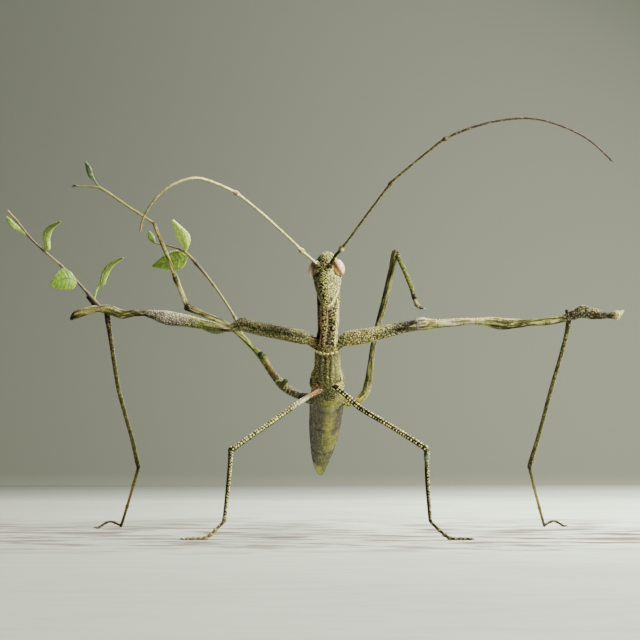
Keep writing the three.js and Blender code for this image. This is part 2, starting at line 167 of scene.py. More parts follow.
@dataclass(frozen=True)
class Feature:
    """A knob, ring, ridge, groove or patch of colour on a limb.

    It lies between two stations, fades out over `fade` mm past them, and shows only on the side that
    faces `toward`, the more narrowly the greater `sharp` is.
    """

    start: float
    end: float
    toward: tuple[float, float, float] | None = None
    sharp: float = 2.0
    height: float = 0.0
    shade: Shade | None = None
    strength: float = 0.8
    fade: float = 0.6

    def weight(self, station: np.ndarray, pace: np.ndarray, facing: np.ndarray) -> np.ndarray:
        """Tells how strongly the feature shows at some points.

        Args:
            station: the points' places along the limb.
            pace: millimetres between stations there.
            facing: unit vectors from the limb's middle line to the points.

        Returns:
            A weight between 0 and 1 for each point.
        """
        away = np.maximum(0.0, np.maximum(self.start - station, station - self.end)) * pace
        weight = np.exp(-((away / self.fade) ** 2))
        if self.toward is not None:
            aim = np.array(self.toward) / np.linalg.norm(self.toward)
            weight = weight * np.maximum(0.0, facing @ aim) ** self.sharp
        return weight


@dataclass(frozen=True)
class Limb:
    """A length of flesh: an oval swept along a smooth route, with its features and colours.

    Each station is x, y, z, girth and, where it differs, depth. `shades` are (station, shade) pairs.
    """

    name: str
    stations: tuple[tuple[float, ...], ...]
    shades: tuple[tuple[float, Shade], ...]
    features: tuple[Feature, ...] = ()
    across: tuple[float, float, float] = BACK
    around: int = 20
    step: float = 0.45
    grain: float = 0.6
    cap_reach: float = 0.7
    slim: float = 1.0
    bare: tuple[tuple[float, float], ...] = ()
    wrinkle: float = 1.0

    def sizes(self) -> np.ndarray:
        """Returns each station's half girth and half depth."""
        return np.array([(s[3], s[4] if len(s) > 4 else s[3]) for s in self.stations]) / 2 * self.slim

    def middles(self, where: np.ndarray) -> np.ndarray:
        """Returns the middle line's points at some station numbers."""
        middles = np.array([s[:3] for s in self.stations], float)
        return glide(middles, np.sqrt(np.linalg.norm(np.diff(middles, axis=0), axis=1)), where)

    def places(self, step: float) -> np.ndarray:
        """Returns station numbers that lie about `step` mm apart along the route."""
        fine = np.linspace(0, len(self.stations) - 1, 40 * len(self.stations))
        run = np.append(0, np.cumsum(np.linalg.norm(np.diff(self.middles(fine), axis=0), axis=1)))
        return np.interp(np.linspace(0, run[-1], max(3, int(run[-1] / step) + 1)), run, fine)

    def pace(self, where: np.ndarray) -> np.ndarray:
        """Returns how many millimetres a station's number covers at some station numbers."""
        first = np.clip(where - 0.25, 0, len(self.stations) - 1.5)
        return np.linalg.norm(self.middles(first + 0.5) - self.middles(first), axis=1) * 2

    def frames(self, where: np.ndarray) -> tuple[np.ndarray, ...]:
        """Returns middles, half sizes, tangents and the two cross directions at some station numbers."""
        last = len(self.stations) - 1
        ahead = self.middles(np.minimum(where + 0.01, last)) - self.middles(np.maximum(where - 0.01, 0))
        along = ahead / np.linalg.norm(ahead, axis=1)[:, None]
        across = np.array(self.across)
        wide = across - along * (along @ across)[:, None]
        wide /= np.linalg.norm(wide, axis=1)[:, None]
        size = glide(self.sizes(), np.ones(last), where)
        return self.middles(where), size, along, wide, np.cross(along, wide)

    def rings(self) -> np.ndarray:
        """Returns the loft's rings of points, with its rounded ends and its relief."""
        caps = np.radians([20, 42, 62, 80])
        inner = self.places(self.step)
        where = np.concatenate([np.full(4, inner[0]), inner, np.full(4, inner[-1])])
        out = np.concatenate([-np.sin(caps[::-1]), np.zeros(len(inner)), np.sin(caps)])
        shrink = np.concatenate([np.cos(caps[::-1]), np.ones(len(inner)), np.cos(caps)])
        middle, size, along, wide, deep = self.frames(where)
        middle = middle + along * (size.min(axis=1) * self.cap_reach * out)[:, None]
        turn = np.linspace(0, 2 * np.pi, self.around, endpoint=False)
        facing = wide[:, None] * np.cos(turn)[:, None] + deep[:, None] * np.sin(turn)[:, None]
        reach = wide[:, None] * (size[:, :1] * np.cos(turn))[..., None]
        reach = reach + deep[:, None] * (size[:, 1:] * np.sin(turn))[..., None]
        flat = facing.reshape(-1, 3)
        spots = np.repeat(where, self.around)
        height = np.zeros(len(flat))
        for feature in self.features:
            if feature.height:
                height += feature.height * feature.weight(spots, self.pace(spots), flat)
        reach = reach + facing * height.reshape(len(where), -1)[..., None]
        return middle[:, None] + reach * shrink[:, None, None]

    def bark(self, station: np.ndarray) -> np.ndarray:
        """Tells where the limb is wrinkled like bark instead of beaded, from 0 to 1."""
        bark = np.zeros(len(station))
        for start, end in self.bare:
            bark = np.maximum(bark, np.clip((station - start) / 0.5 + 0.5, 0, 1)
                              * np.clip((end - station) / 0.5 + 0.5, 0, 1))
        return bark

    def tint(self, station: np.ndarray, facing: np.ndarray) -> np.ndarray:
        """Returns the linear colour of the limb's surface at some points."""
        keys = [key for key, _ in self.shades]
        tones = np.array([shade.linear() for _, shade in self.shades])
        tint = np.stack([np.interp(station, keys, tones[:, band]) for band in range(3)], axis=1)
        pace = self.pace(station)
        for feature in self.features:
            if feature.shade is not None:
                weight = (feature.strength * feature.weight(station, pace, facing))[:, None]
                tint = tint * (1 - weight) + feature.shade.linear() * weight
        return tint


def loft(rings: np.ndarray) -> bmesh.types.BMesh:
    """Extrudes a circle from ring to ring.

    Args:
        rings: an array of rings, each a row of points, all with as many points.

    Returns:
        A closed bmesh with its faces outward.
    """
    work = bmesh.new()
    bmesh.ops.create_circle(work, cap_ends=True, segments=rings.shape[1], radius=1.0)
    cap = next(iter(work.faces))
    for number, ring in enumerate(rings):
        if number:
            grown = bmesh.ops.extrude_face_region(work, geom=[cap, *cap.edges])["geom"]
            cap = next(part for part in grown if isinstance(part, bmesh.types.BMFace))
        for corner, spot in zip(cap.verts, ring):
            corner.co = spot
    bmesh.ops.poke(work, faces=[face for face in work.faces if len(face.verts) > 4])
    bmesh.ops.recalc_face_normals(work, faces=work.faces)
    return work


def merge(target: bmesh.types.BMesh, source: bmesh.types.BMesh) -> None:
    """Adds a bmesh to another and frees it."""
    passing = bpy.data.meshes.new("passing")
    source.to_mesh(passing)
    source.free()
    target.from_mesh(passing)
    bpy.data.meshes.remove(passing)


# ------------------------------------------------------------------ finishes


class Nodes:
    """Adds nodes to a material or a group, and links or sets their inputs."""

    def __init__(self, tree: bpy.types.NodeTree) -> None:
        self.tree = tree

    def add(self, kind: str, inputs: dict | None = None, **settings: object) -> bpy.types.Node:
        """Adds a node.

        Args:
            kind: the node's type, without its ShaderNode prefix.
            inputs: values or sockets by input name or number.
            **settings: the node's own properties.

        Returns:
            The node.
        """
        node = self.tree.nodes.new("ShaderNode" + kind)
        for name, value in settings.items():
            setattr(node, name, value)
        for key, value in (inputs or {}).items():
            if isinstance(value, bpy.types.NodeSocket):
                self.tree.links.new(value, node.inputs[key])
            else:
                node.inputs[key].default_value = value
        return node

    def ramp(self, value: bpy.types.NodeSocket, low: float, high: float) -> bpy.types.NodeSocket:
        """Returns a value stretched so that low becomes 0 and high becomes 1."""
        inputs = {"Value": value, "From Min": low, "From Max": high}
        return self.add("MapRange", inputs, clamp=True, interpolation_type="SMOOTHSTEP").outputs["Result"]

    def blend(self, factor: object, first: object, second: object, mode: str = "MIX") -> bpy.types.NodeSocket:
        """Returns two colours mixed by a factor."""
        mix = self.add("Mix", {0: factor, 6: first, 7: second}, data_type="RGBA", blend_type=mode)
        return mix.outputs[2]

    def maths(self, how: str, first: object, second: object, third: object = 0.1) -> bpy.types.NodeSocket:
        """Returns the result of a sum on two or three values."""
        return self.add("Math", {0: first, 1: second, 2: third}, operation=how).outputs[0]


def grain_group() -> bpy.types.NodeTree:
    """Makes the shared effect of a granular shell.

    Returns:
        A group that takes a coordinate and puts out bead, crevice and blotch masks, and a height.
    """
    tree = bpy.data.node_groups.get("shell grain")
    if tree is not None:
        return tree
    tree = bpy.data.node_groups.new("shell grain", "ShaderNodeTree")
    tree.interface.new_socket("Place", in_out="INPUT", socket_type="NodeSocketVector")
    for name in ("Bead", "Crevice", "Blotch", "Height"):
        tree.interface.new_socket(name, in_out="OUTPUT", socket_type="NodeSocketFloat")
    nodes = Nodes(tree)
    place = tree.nodes.new("NodeGroupInput").outputs["Place"]
    warp = nodes.add("TexNoise", {"Vector": place, "Scale": 900.0, "Detail": 2.0})
    offset = nodes.add("VectorMath", {0: warp.outputs["Color"], "Scale": 0.00022}, operation="SCALE")
    moved = nodes.add("VectorMath", {0: place, 1: offset.outputs[0]}, operation="ADD").outputs[0]
    cells = nodes.add("TexVoronoi", {"Vector": moved, "Scale": 1850.0, "Randomness": 0.95})
    hue = nodes.add("SeparateColor", {0: cells.outputs["Color"]}).outputs[0]
    lump = nodes.ramp(cells.outputs["Distance"], 0.62, 0.12)
    fine = nodes.add("TexNoise", {"Vector": place, "Scale": 6500.0, "Detail": 4.0, "Roughness": 0.65})
    patch = nodes.add("TexNoise", {"Vector": place, "Scale": 420.0, "Detail": 5.0, "Roughness": 0.6})
    outputs = {
        "Bead": nodes.maths("MULTIPLY", lump, nodes.ramp(hue, 0.15, 0.75)),
        "Crevice": nodes.ramp(cells.outputs["Distance"], 0.45, 0.8),
        "Blotch": nodes.ramp(patch.outputs["Fac"], 0.38, 0.64),
        "Height": nodes.maths("ADD", lump, nodes.maths("MULTIPLY", fine.outputs["Fac"], 0.5)),
    }
    out = tree.nodes.new("NodeGroupOutput")
    for name, socket in outputs.items():
        tree.links.new(socket, out.inputs[name])
    return tree


class Finish:
    """A finish: a material built once and kept by name."""

    name: str

    def material(self) -> bpy.types.Material:
        """Returns the finish's material, building it at its first use."""
        made = bpy.data.materials.get(self.name)
        if made is None:
            made = bpy.data.materials.new(self.name)
            made.use_nodes = True
            made.node_tree.nodes.clear()
            nodes = Nodes(made.node_tree)
            surface = self.surface(nodes)
            nodes.add("OutputMaterial", {"Surface": surface.outputs[0]})
        return made

    def surface(self, nodes: Nodes) -> bpy.types.Node:
        """Builds the finish's nodes and returns its shader."""
        raise NotImplementedError


@dataclass(frozen=True)
class ShellFinish(Finish):
    """Granular insect shell, coloured by the piece's own tint."""

    name: str = "insect shell"
    dull: float = 0.7
    relief: float = 0.00012
    bead_lift: float = 0.75
    crevice_shade_depth: float = 1.0

    def surface(self, nodes: Nodes) -> bpy.types.Node:
        """Builds the shell from its tint, pale beads, blotches and its painted shade and highlights."""
        place = nodes.add("TexCoord").outputs["Object"]
        tint = nodes.add("Attribute", attribute_name="tint").outputs["Color"]
        rough = nodes.add("Attribute", attribute_name="grain").outputs["Fac"]
        bark = nodes.add("Attribute", attribute_name="bark").outputs["Fac"]
        run = nodes.add("Attribute", attribute_name="run").outputs["Fac"]
        lane = nodes.add("Attribute", attribute_name="lane").outputs["Vector"]
        grain = nodes.add("Group", node_tree=grain_group())
        nodes.tree.links.new(place, grain.inputs["Place"])
        fold = nodes.add("TexNoise", {"Vector": lane, "W": nodes.maths("MULTIPLY", run, 0.13), "Scale": 2.0,
                                      "Detail": 4.0, "Roughness": 0.6, "Distortion": 0.4}, noise_dimensions="4D")
        hoop = nodes.add("TexNoise", {"Vector": nodes.add("VectorMath", {0: lane, "Scale": 0.16},
                                                          operation="SCALE").outputs[0],
                                      "W": run, "Scale": 2.4, "Detail": 2.0}, noise_dimensions="4D")
        # dark is the tint darkened, for blotches and painted shade; light is the tint lifted towards cream, for pale
        # beads and painted highlights.
        dark = nodes.blend(1.0, tint, (0.22, 0.19, 0.14, 1.0), "MULTIPLY")
        light = nodes.blend(0.55, tint, Shade.CREAM.rgba())
        blotch = nodes.maths("MULTIPLY", grain.outputs["Blotch"], nodes.maths("MULTIPLY_ADD", rough, 0.5))
        shaded = nodes.blend(blotch, tint, dark)
        # Painted shade in the crevices between the beads, over the shell's darker ground.
        crevice = nodes.maths("MULTIPLY", grain.outputs["Crevice"], self.crevice_shade_depth)
        crevice_shaded = nodes.blend(nodes.maths("MULTIPLY", crevice, rough), shaded, dark)
        glow = nodes.ramp(nodes.add("RGBToBW", {0: tint}).outputs[0], 0.004, 0.03)
        bead = nodes.maths("MULTIPLY", nodes.maths("MULTIPLY", grain.outputs["Bead"], glow), self.bead_lift)
        beaded = nodes.blend(nodes.maths("MULTIPLY", bead, rough), crevice_shaded, light)
        # The bark-like folds: painted shade in their creases and a painted highlight on their crests, following the
        # folds' bump.
        crease = nodes.maths("MAXIMUM", nodes.ramp(fold.outputs["Fac"], 0.52, 0.4),
                             nodes.maths("MULTIPLY", nodes.ramp(hoop.outputs["Fac"], 0.47, 0.36), 0.8))
        crest_highlight = nodes.ramp(fold.outputs["Fac"], 0.53, 0.64)
        crease_shaded = nodes.blend(nodes.maths("MULTIPLY", crease, bark), beaded, dark)
        colour = nodes.blend(nodes.maths("MULTIPLY", nodes.maths("MULTIPLY", crest_highlight, bark), 0.6), crease_shaded, light)
        beads = nodes.maths("MULTIPLY", grain.outputs["Height"], nodes.maths("ADD", rough, 0.25))
        folds = nodes.maths("MULTIPLY", nodes.maths("SUBTRACT", fold.outputs["Fac"], crease), bark)
        bump = nodes.add("Bump", {"Height": nodes.maths("ADD", beads, folds), "Distance": self.relief,
                                  "Strength": 0.8})
        gloss = nodes.maths("MULTIPLY_ADD", grain.outputs["Bead"], -0.14, self.dull)
        return nodes.add("BsdfPrincipled", {
            "Base Color": colour, "Roughness": gloss, "Normal": bump.outputs[0], "Specular IOR Level": 0.1,
        })


@dataclass(frozen=True)
class BeadFinish(Finish):
    """Smooth granules, a little glossier than the shell that they stand on."""

    name: str = "shell granules"
    roughness: float = 0.42

    def surface(self, nodes: Nodes) -> bpy.types.Node:
        """Builds the granules from their own tint with a faint cloudiness."""
        place = nodes.add("TexCoord").outputs["Object"]
        tint = nodes.add("Attribute", attribute_name="tint").outputs["Color"]
        cloud = nodes.add("TexNoise", {"Vector": place, "Scale": 3800.0, "Detail": 3.0})
        dull = nodes.blend(1.0, tint, (0.5, 0.45, 0.36, 1.0), "MULTIPLY")
        colour = nodes.blend(nodes.ramp(cloud.outputs["Fac"], 0.62, 0.4), dull, tint)
        bump = nodes.add("Bump", {"Height": cloud.outputs["Fac"], "Distance": 0.00003, "Strength": 0.5})
        return nodes.add("BsdfPrincipled", {
            "Base Color": colour, "Normal": bump.outputs[0], "Roughness": self.roughness,
            "Subsurface Weight": 0.08, "Subsurface Radius": (0.001, 0.0007, 0.0004),
        })


@dataclass(frozen=True)
class EyeFinish(Finish):
    """A faceted eye with a slanting band across it: a streak of colour on the left eye and a painted shadow on the
    right eye.
    """

    name: str
    pale: Shade
    streak_and_shadow: Shade
    middle: Vector
    slant: tuple[float, float, float]
    half_width: float

    def surface(self, nodes: Nodes) -> bpy.types.Node:
        """Builds the eye from its facets, white clouds that are partly a painted highlight, its band and a clear coat.
        """
        place = nodes.add("TexCoord").outputs["Object"]
        from_middle = nodes.add("VectorMath", {0: place, 1: self.middle}, operation="SUBTRACT").outputs[0]
        off = nodes.add("VectorMath", {0: from_middle, 1: Vector(self.slant).normalized()},
                        operation="DOT_PRODUCT").outputs["Value"]
        wobble = nodes.add("TexNoise", {"Vector": place, "Scale": 1500.0, "Detail": 4.0})
        wave = nodes.maths("MULTIPLY", nodes.maths("SUBTRACT", wobble.outputs["Fac"], 0.5), 0.0007)
        reach = nodes.maths("ABSOLUTE", nodes.maths("ADD", off, wave), 0.0)
        streak_and_shadow = nodes.ramp(reach, self.half_width * 1.5, self.half_width * 0.5)
        facets = nodes.add("TexVoronoi", {"Vector": place, "Scale": 4200.0, "Randomness": 0.6})
        speck = nodes.ramp(facets.outputs["Distance"], 0.62, 0.34)
        # White clouds on the facets: partly pale mottling, partly a painted highlight.
        cloud = nodes.add("TexNoise", {"Vector": place, "Scale": 900.0, "Detail": 5.0, "Roughness": 0.75})
        white_and_highlight = nodes.maths("MULTIPLY", nodes.ramp(cloud.outputs["Fac"], 0.34, 0.46), speck)
        pale = nodes.blend(white_and_highlight, self.pale.rgba(), Shade.CHALK.rgba())
        colour = nodes.blend(nodes.maths("MULTIPLY", streak_and_shadow, 0.95), pale, self.streak_and_shadow.rgba())
        bump = nodes.add("Bump", {"Height": facets.outputs["Distance"], "Distance": 0.00004, "Strength": 0.5})
        bump.invert = True
        return nodes.add("BsdfPrincipled", {
            "Base Color": colour, "Normal": bump.outputs[0], "Roughness": 0.34,
            "Coat Weight": 0.15, "Coat Roughness": 0.15, "Specular IOR Level": 0.3,
        })


@dataclass(frozen=True)
class HornFinish(Finish):
    """Dark horny claws, paler at the root."""

    name: str = "claw horn"

    def surface(self, nodes: Nodes) -> bpy.types.Node:
        """Builds the horn with fine growth lines."""
        place = nodes.add("TexCoord").outputs["Object"]
        tint = nodes.add("Attribute", attribute_name="tint").outputs["Color"]
        lines = nodes.add("TexNoise", {"Vector": place, "Scale": 4200.0, "Detail": 4.0})
        dark = nodes.blend(1.0, tint, (0.5, 0.42, 0.36, 1.0), "MULTIPLY")
        colour = nodes.blend(nodes.ramp(lines.outputs["Fac"], 0.35, 0.62), tint, dark)
        bump = nodes.add("Bump", {"Height": lines.outputs["Fac"], "Distance": 0.00003, "Strength": 0.5})
        return nodes.add("BsdfPrincipled", {
            "Base Color": colour, "Normal": bump.outputs[0], "Roughness": 0.32, "Coat Weight": 0.3,
        })


@dataclass(frozen=True)
class BarkFinish(Finish):
    """Thin dark bark with paler lengthwise streaks."""

    name: str = "twig bark"

    def surface(self, nodes: Nodes) -> bpy.types.Node:
        """Builds the bark from fibrous noise and small lenticels."""
        place = nodes.add("TexCoord").outputs["Object"]
        tint = nodes.add("Attribute", attribute_name="tint").outputs["Color"]
        fibre = nodes.add("TexNoise", {"Vector": place, "Scale": 2600.0, "Detail": 6.0, "Roughness": 0.7})
        spots = nodes.add("TexVoronoi", {"Vector": place, "Scale": 1100.0})
        lenticel = nodes.ramp(spots.outputs["Distance"], 0.24, 0.08)
        dark = nodes.blend(1.0, tint, (0.5, 0.42, 0.42, 1.0), "MULTIPLY")
        streaked = nodes.blend(nodes.ramp(fibre.outputs["Fac"], 0.4, 0.62), tint, dark)
        colour = nodes.blend(nodes.maths("MULTIPLY", lenticel, 0.8), streaked, Shade.BEIGE.rgba())
        bump = nodes.add("Bump", {"Height": fibre.outputs["Fac"], "Distance": 0.0001, "Strength": 0.8})
        return nodes.add("BsdfPrincipled", {
            "Base Color": colour, "Normal": bump.outputs[0], "Roughness": 0.68,
        })


@dataclass(frozen=True)
class LeafFinish(Finish):
    """Waxy leaf with darker veins, from the leaf's own tint and vein attributes."""

    name: str = "waxy leaf"

    def surface(self, nodes: Nodes) -> bpy.types.Node:
        """Builds the leaf with its veins, mottling and a soft glow of light through it."""
        place = nodes.add("TexCoord").outputs["Object"]
        tint = nodes.add("Attribute", attribute_name="tint").outputs["Color"]
        vein = nodes.add("Attribute", attribute_name="vein").outputs["Fac"]
        mottle = nodes.add("TexNoise", {"Vector": place, "Scale": 1300.0, "Detail": 5.0})
        cells = nodes.add("TexVoronoi", {"Vector": place, "Scale": 1500.0, "Randomness": 1.0},
                          feature="DISTANCE_TO_EDGE")
        dark = nodes.blend(1.0, tint, (0.4, 0.5, 0.3, 1.0), "MULTIPLY")
        mixed = nodes.blend(nodes.maths("MULTIPLY", nodes.ramp(mottle.outputs["Fac"], 0.4, 0.66), 0.5),
                            tint, dark)
        net = nodes.maths("MULTIPLY", nodes.ramp(cells.outputs["Distance"], 0.12, 0.02), 0.4)
        colour = nodes.blend(nodes.maths("MAXIMUM", nodes.maths("MULTIPLY", vein, 0.66), net), mixed,
                             Shade.DEEP.rgba())
        height = nodes.maths("SUBTRACT", cells.outputs["Distance"], vein)
        bump = nodes.add("Bump", {"Height": height, "Distance": 0.0001, "Strength": 0.6})
        return nodes.add("BsdfPrincipled", {
            "Base Color": colour, "Normal": bump.outputs[0], "Roughness": 0.45,
            "Subsurface Weight": 0.25, "Subsurface Radius": (0.0006, 0.0012, 0.0003),
        })


@dataclass(frozen=True)
class GroundFinish(Finish):
    """Pale matte boards with faint grain and painted light, which darken softly towards their far edge."""

    name: str = "pale ground"
    left: tuple[float, float, float] = (0.245, 0.262, 0.215)
    right: tuple[float, float, float] = (0.39, 0.44, 0.36)
    right_back_lit: tuple[float, float, float] = (0.76, 0.85, 0.71)
    left_far: tuple[float, float, float] = (0.066, 0.07, 0.058)
    right_far: tuple[float, float, float] = (0.15, 0.16, 0.135)
    far_start: float = 0.235
    far_end: float = 0.466
    fleck: float = 0.9

    def surface(self, nodes: Nodes) -> bpy.types.Node:
        """Builds the boards, with painted light that makes them lighter towards one side and the back."""
        place = nodes.add("TexCoord").outputs["Object"]
        parts = nodes.add("SeparateXYZ", {0: place})
        # Painted light: the boards brighten from left to right and, on the right, towards the back, as if lit from the
        # right back.
        fade = nodes.ramp(parts.outputs["X"], -0.17, 0.19)
        back = nodes.ramp(parts.outputs["Y"], -0.25, 0.06)
        lit_tone = nodes.blend(back, (*self.right, 1.0), (*self.right_back_lit, 1.0))
        tone = nodes.blend(fade, (*self.left, 1.0), lit_tone)
        along = nodes.add("VectorMath", {0: place, 1: Vector((48.0, 120.0, 60.0))}, operation="MULTIPLY").outputs[0]
        flecks = nodes.add("TexNoise", {"Vector": along, "Scale": 1.0, "Detail": 8.0, "Roughness": 0.62,
                                        "Distortion": 0.5})
        patches = nodes.add("TexNoise", {"Vector": place, "Scale": 14.0, "Detail": 2.0})
        near = nodes.maths("MULTIPLY", nodes.ramp(parts.outputs["Y"], -0.14, -0.075),
                           nodes.ramp(parts.outputs["Y"], 0.11, -0.02))
        mask = nodes.maths("MULTIPLY", nodes.ramp(flecks.outputs["Fac"], 0.45, 0.6),
                           nodes.maths("MULTIPLY", nodes.maths("ADD", near, 0.12), self.fleck))
        patched = nodes.blend(nodes.maths("MULTIPLY", nodes.ramp(patches.outputs["Fac"], 0.4, 0.66), 0.22),
                              tone, (0.3, 0.27, 0.23, 1.0))
        colour = nodes.blend(mask, patched, (0.15, 0.12, 0.1, 1.0))
        deep = nodes.add("MapRange", {"Value": parts.outputs["Y"], "From Min": self.far_start,
                                      "From Max": self.far_end})
        far = nodes.blend(fade, (*self.left_far, 1.0), (*self.right_far, 1.0))
        softened = nodes.blend(nodes.maths("POWER", deep.outputs[0], 0.6), colour, far)
        bump = nodes.add("Bump", {"Height": flecks.outputs["Fac"], "Distance": 0.0004, "Strength": 0.3})
        return nodes.add("BsdfPrincipled", {
            "Base Color": softened, "Normal": bump.outputs[0], "Roughness": 0.85, "Specular IOR Level": 0.2,
        })


@dataclass(frozen=True)
class WallFinish(Finish):
    """Plain matte wall paint, with painted light that makes it a little lighter towards one side and its foot."""

    name: str = "grey wall"
    left: tuple[float, float, float] = (0.198, 0.208, 0.163)
    right: tuple[float, float, float] = (0.335, 0.35, 0.272)

    def surface(self, nodes: Nodes) -> bpy.types.Node:
        """Builds the paint and its painted light."""
        parts = nodes.add("SeparateXYZ", {0: nodes.add("TexCoord").outputs["Object"]})
        # Painted light: lighter from left to right, darker higher up and lighter at the very foot.
        fade = nodes.ramp(parts.outputs["X"], -0.3, 0.3)
        tone = nodes.blend(fade, (*self.left, 1.0), (*self.right, 1.0))
        high = nodes.blend(nodes.ramp(parts.outputs["Z"], -0.01, 0.3), tone,
                           nodes.blend(1.0, tone, (0.8, 0.8, 0.82, 1.0), "MULTIPLY"))
        low = nodes.blend(1.0, tone, (0.8, 0.8, 0.82, 1.0), "DIVIDE")
        foot = nodes.blend(nodes.ramp(parts.outputs["Z"], -0.006, -0.018), high, low)
        return nodes.add("BsdfPrincipled", {"Base Color": foot, "Roughness": 0.9, "Specular IOR Level": 0.2})


# ------------------------------------------------------------------ the workshop


class Workshop:
    """Places finished pieces in the scene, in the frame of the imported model."""

    def __init__(self) -> None:
        self.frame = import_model()
        self.low, self.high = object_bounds()
        corners = [corner for side in ("left", "right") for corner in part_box(f"eye_{side}")]
        middle = sum(corners, Vector()) / len(corners)
        self.shift = Vector((middle.x - EYE_MIDDLE.x * MM, middle.y - EYE_MIDDLE.y * MM, 0.0))

    def place(self, x: float, y: float, z: float) -> Vector:
        """Returns a point of the body's frame in metres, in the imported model's frame."""
        return Vector((x, y, z)) * MM + self.shift

    def add(self, name: str, work: bmesh.types.BMesh, finish: Finish, smooth: bool = True) -> bpy.types.Object:
        """Makes an object of a bmesh that is in millimetres, and moves it into place.

        Args:
            name: the piece's name.
            work: its shape, which is freed.
            finish: its finish.
            smooth: whether its faces are shaded smooth.

        Returns:
            The object, at the origin.
        """
        bmesh.ops.transform(work, matrix=Matrix.Translation(self.shift) @ Matrix.Scale(MM, 4), verts=work.verts)
        mesh = bpy.data.meshes.new(name)
        for face in work.faces:
            face.smooth = smooth
        work.to_mesh(mesh)
        work.free()
        mesh.materials.append(finish.material())
        piece = bpy.data.objects.new(name, mesh)
        bpy.context.scene.collection.objects.link(piece)
        return piece

    def dress(self, piece: bpy.types.Object, slot: str, nodes: list[str]) -> None:
        """Has a piece ride on the body and stand for some nodes."""
        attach(piece, "root")
        if nodes:
            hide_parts(*nodes)
        LOG.info("%s: %d faces", piece.name, len(piece.data.polygons))


def paint(piece: bpy.types.Object, name: str, values: np.ndarray) -> None:
    """Stores a colour, a place or a value for each of a mesh's vertices."""
    if name == "lane":
        piece.data.attributes.new(name, "FLOAT_VECTOR", "POINT").data.foreach_set(
            "vector", values.astype(np.float32).ravel())
        return
    colours = values.ndim == 2
    kind = "FLOAT_COLOR" if colours else "FLOAT"
    layer = piece.data.attributes.new(name, kind, "POINT")
    if colours:
        values = np.column_stack([values, np.ones(len(values))])
    layer.data.foreach_set("color" if colours else "value", values.astype(np.float32).ravel())


def spots_of(piece: bpy.types.Object) -> np.ndarray:
    """Returns a mesh's vertices as rows."""
    spots = np.empty(len(piece.data.vertices) * 3, np.float32)
    piece.data.vertices.foreach_get("co", spots)
    return spots.reshape(-1, 3).astype(float)


# ------------------------------------------------------------------ the insect's flesh

HEAD = Limb(
    "head",
    ((0.0, -2.0, 69.3, 3.8, 3.4), (0.0, -3.2, 68.0, 5.8, 5.5), (0.0, -4.4, 65.4, 7.0, 6.4),
     (0.1, -5.4, 62.4, 6.4, 6.0), (0.1, -6.3, 59.8, 4.9, 5.0), (0.15, -7.0, 58.0, 3.3, 3.8),
     (0.2, -7.4, 57.1, 2.1, 2.8)),
    ((0.0, Shade.PALE), (1.2, Shade.LIME), (2.5, Shade.LIME), (4.0, Shade.LIME), (5.0, Shade.PALE),
     (6.0, Shade.BEIGE)),
    (
        Feature(0.2, 1.6, (0.35, -0.8, 0.3), 6, 0.1, Shade.PALE, 0.7),
        Feature(1.3, 2.3, (-0.76, -0.65, 0), 7, -1.1, Shade.MOSS, 0.6, 1.0),
        Feature(1.3, 2.3, (0.74, -0.68, 0), 7, -1.35, Shade.PALE, 0.4, 1.0),
        Feature(0.3, 1.7, (-0.8, -0.6, 0), 7, 0.0, Shade.DARK, 1.0, 0.8),
        Feature(0.0, 2.6, (-0.12, -0.99, 0), 12, -0.3, Shade.DARK, 1.0, 1.0),
        Feature(0.2, 2.4, (-0.5, -0.87, 0), 24, 0.4, Shade.CREAM, 1.0),
        Feature(0.2, 2.4, (0.3, -0.95, 0), 60, 0.16, Shade.PALE, 0.9),
        Feature(2.6, 4.4, (-0.12, -1, 0), 14, 0.2, Shade.CREAM, 0.6, 1.2),
        # A painted highlight over pale cream on the face's side towards the key light (+X), and painted shade over
        # darker earth on the -X side.
        Feature(1.8, 4.4, (0.7, -0.7, 0), 6, 0.0, Shade.CREAM, 0.75, 1.2),
        Feature(1.4, 4.8, (-0.85, -0.5, 0), 4, 0.0, Shade.EARTH, 0.9, 1.2),
        Feature(4.9, 5.6, (0.2, -1, 0), 3, 0.12, Shade.PALE, 0.7, 0.6),
    ),
    LEFT, 72, 0.24, 0.85,
)
FEELER_CUPS = (
    Limb("feeler_cup_right", ((-1.0, -4.6, 66.2, 1.7), (-2.1, -7.1, 67.1, 1.45), (-2.45, -7.7, 67.4, 1.2)),
         ((0.0, Shade.MOSS), (1.0, Shade.EARTH), (2.0, Shade.BEIGE)), (), around=20, step=0.22, grain=0.5),
    Limb("feeler_cup_left", ((0.3, -4.6, 66.2, 1.7), (0.75, -7.4, 67.0, 1.45), (0.85, -7.9, 67.3, 1.2)),
         ((0.0, Shade.MOSS), (1.0, Shade.EARTH), (2.0, Shade.EARTH)), (), around=20, step=0.22, grain=0.5),
)
HEAD_RIM = Limb(
    "head_rim",
    ((3.0, -6.0, 62.4, 0.3), (2.5, -7.2, 60.4, 0.42), (1.8, -8.1, 58.8, 0.45), (0.95, -8.7, 57.4, 0.5),
     (0.1, -8.9, 56.8, 0.5), (-0.8, -8.5, 57.2, 0.4), (-1.6, -7.8, 58.4, 0.3)),
    ((0.0, Shade.CREAM), (3.5, Shade.CREAM), (4.5, Shade.BEIGE), (6.0, Shade.OLIVE)),
    around=12, step=0.3, grain=0.3,
)
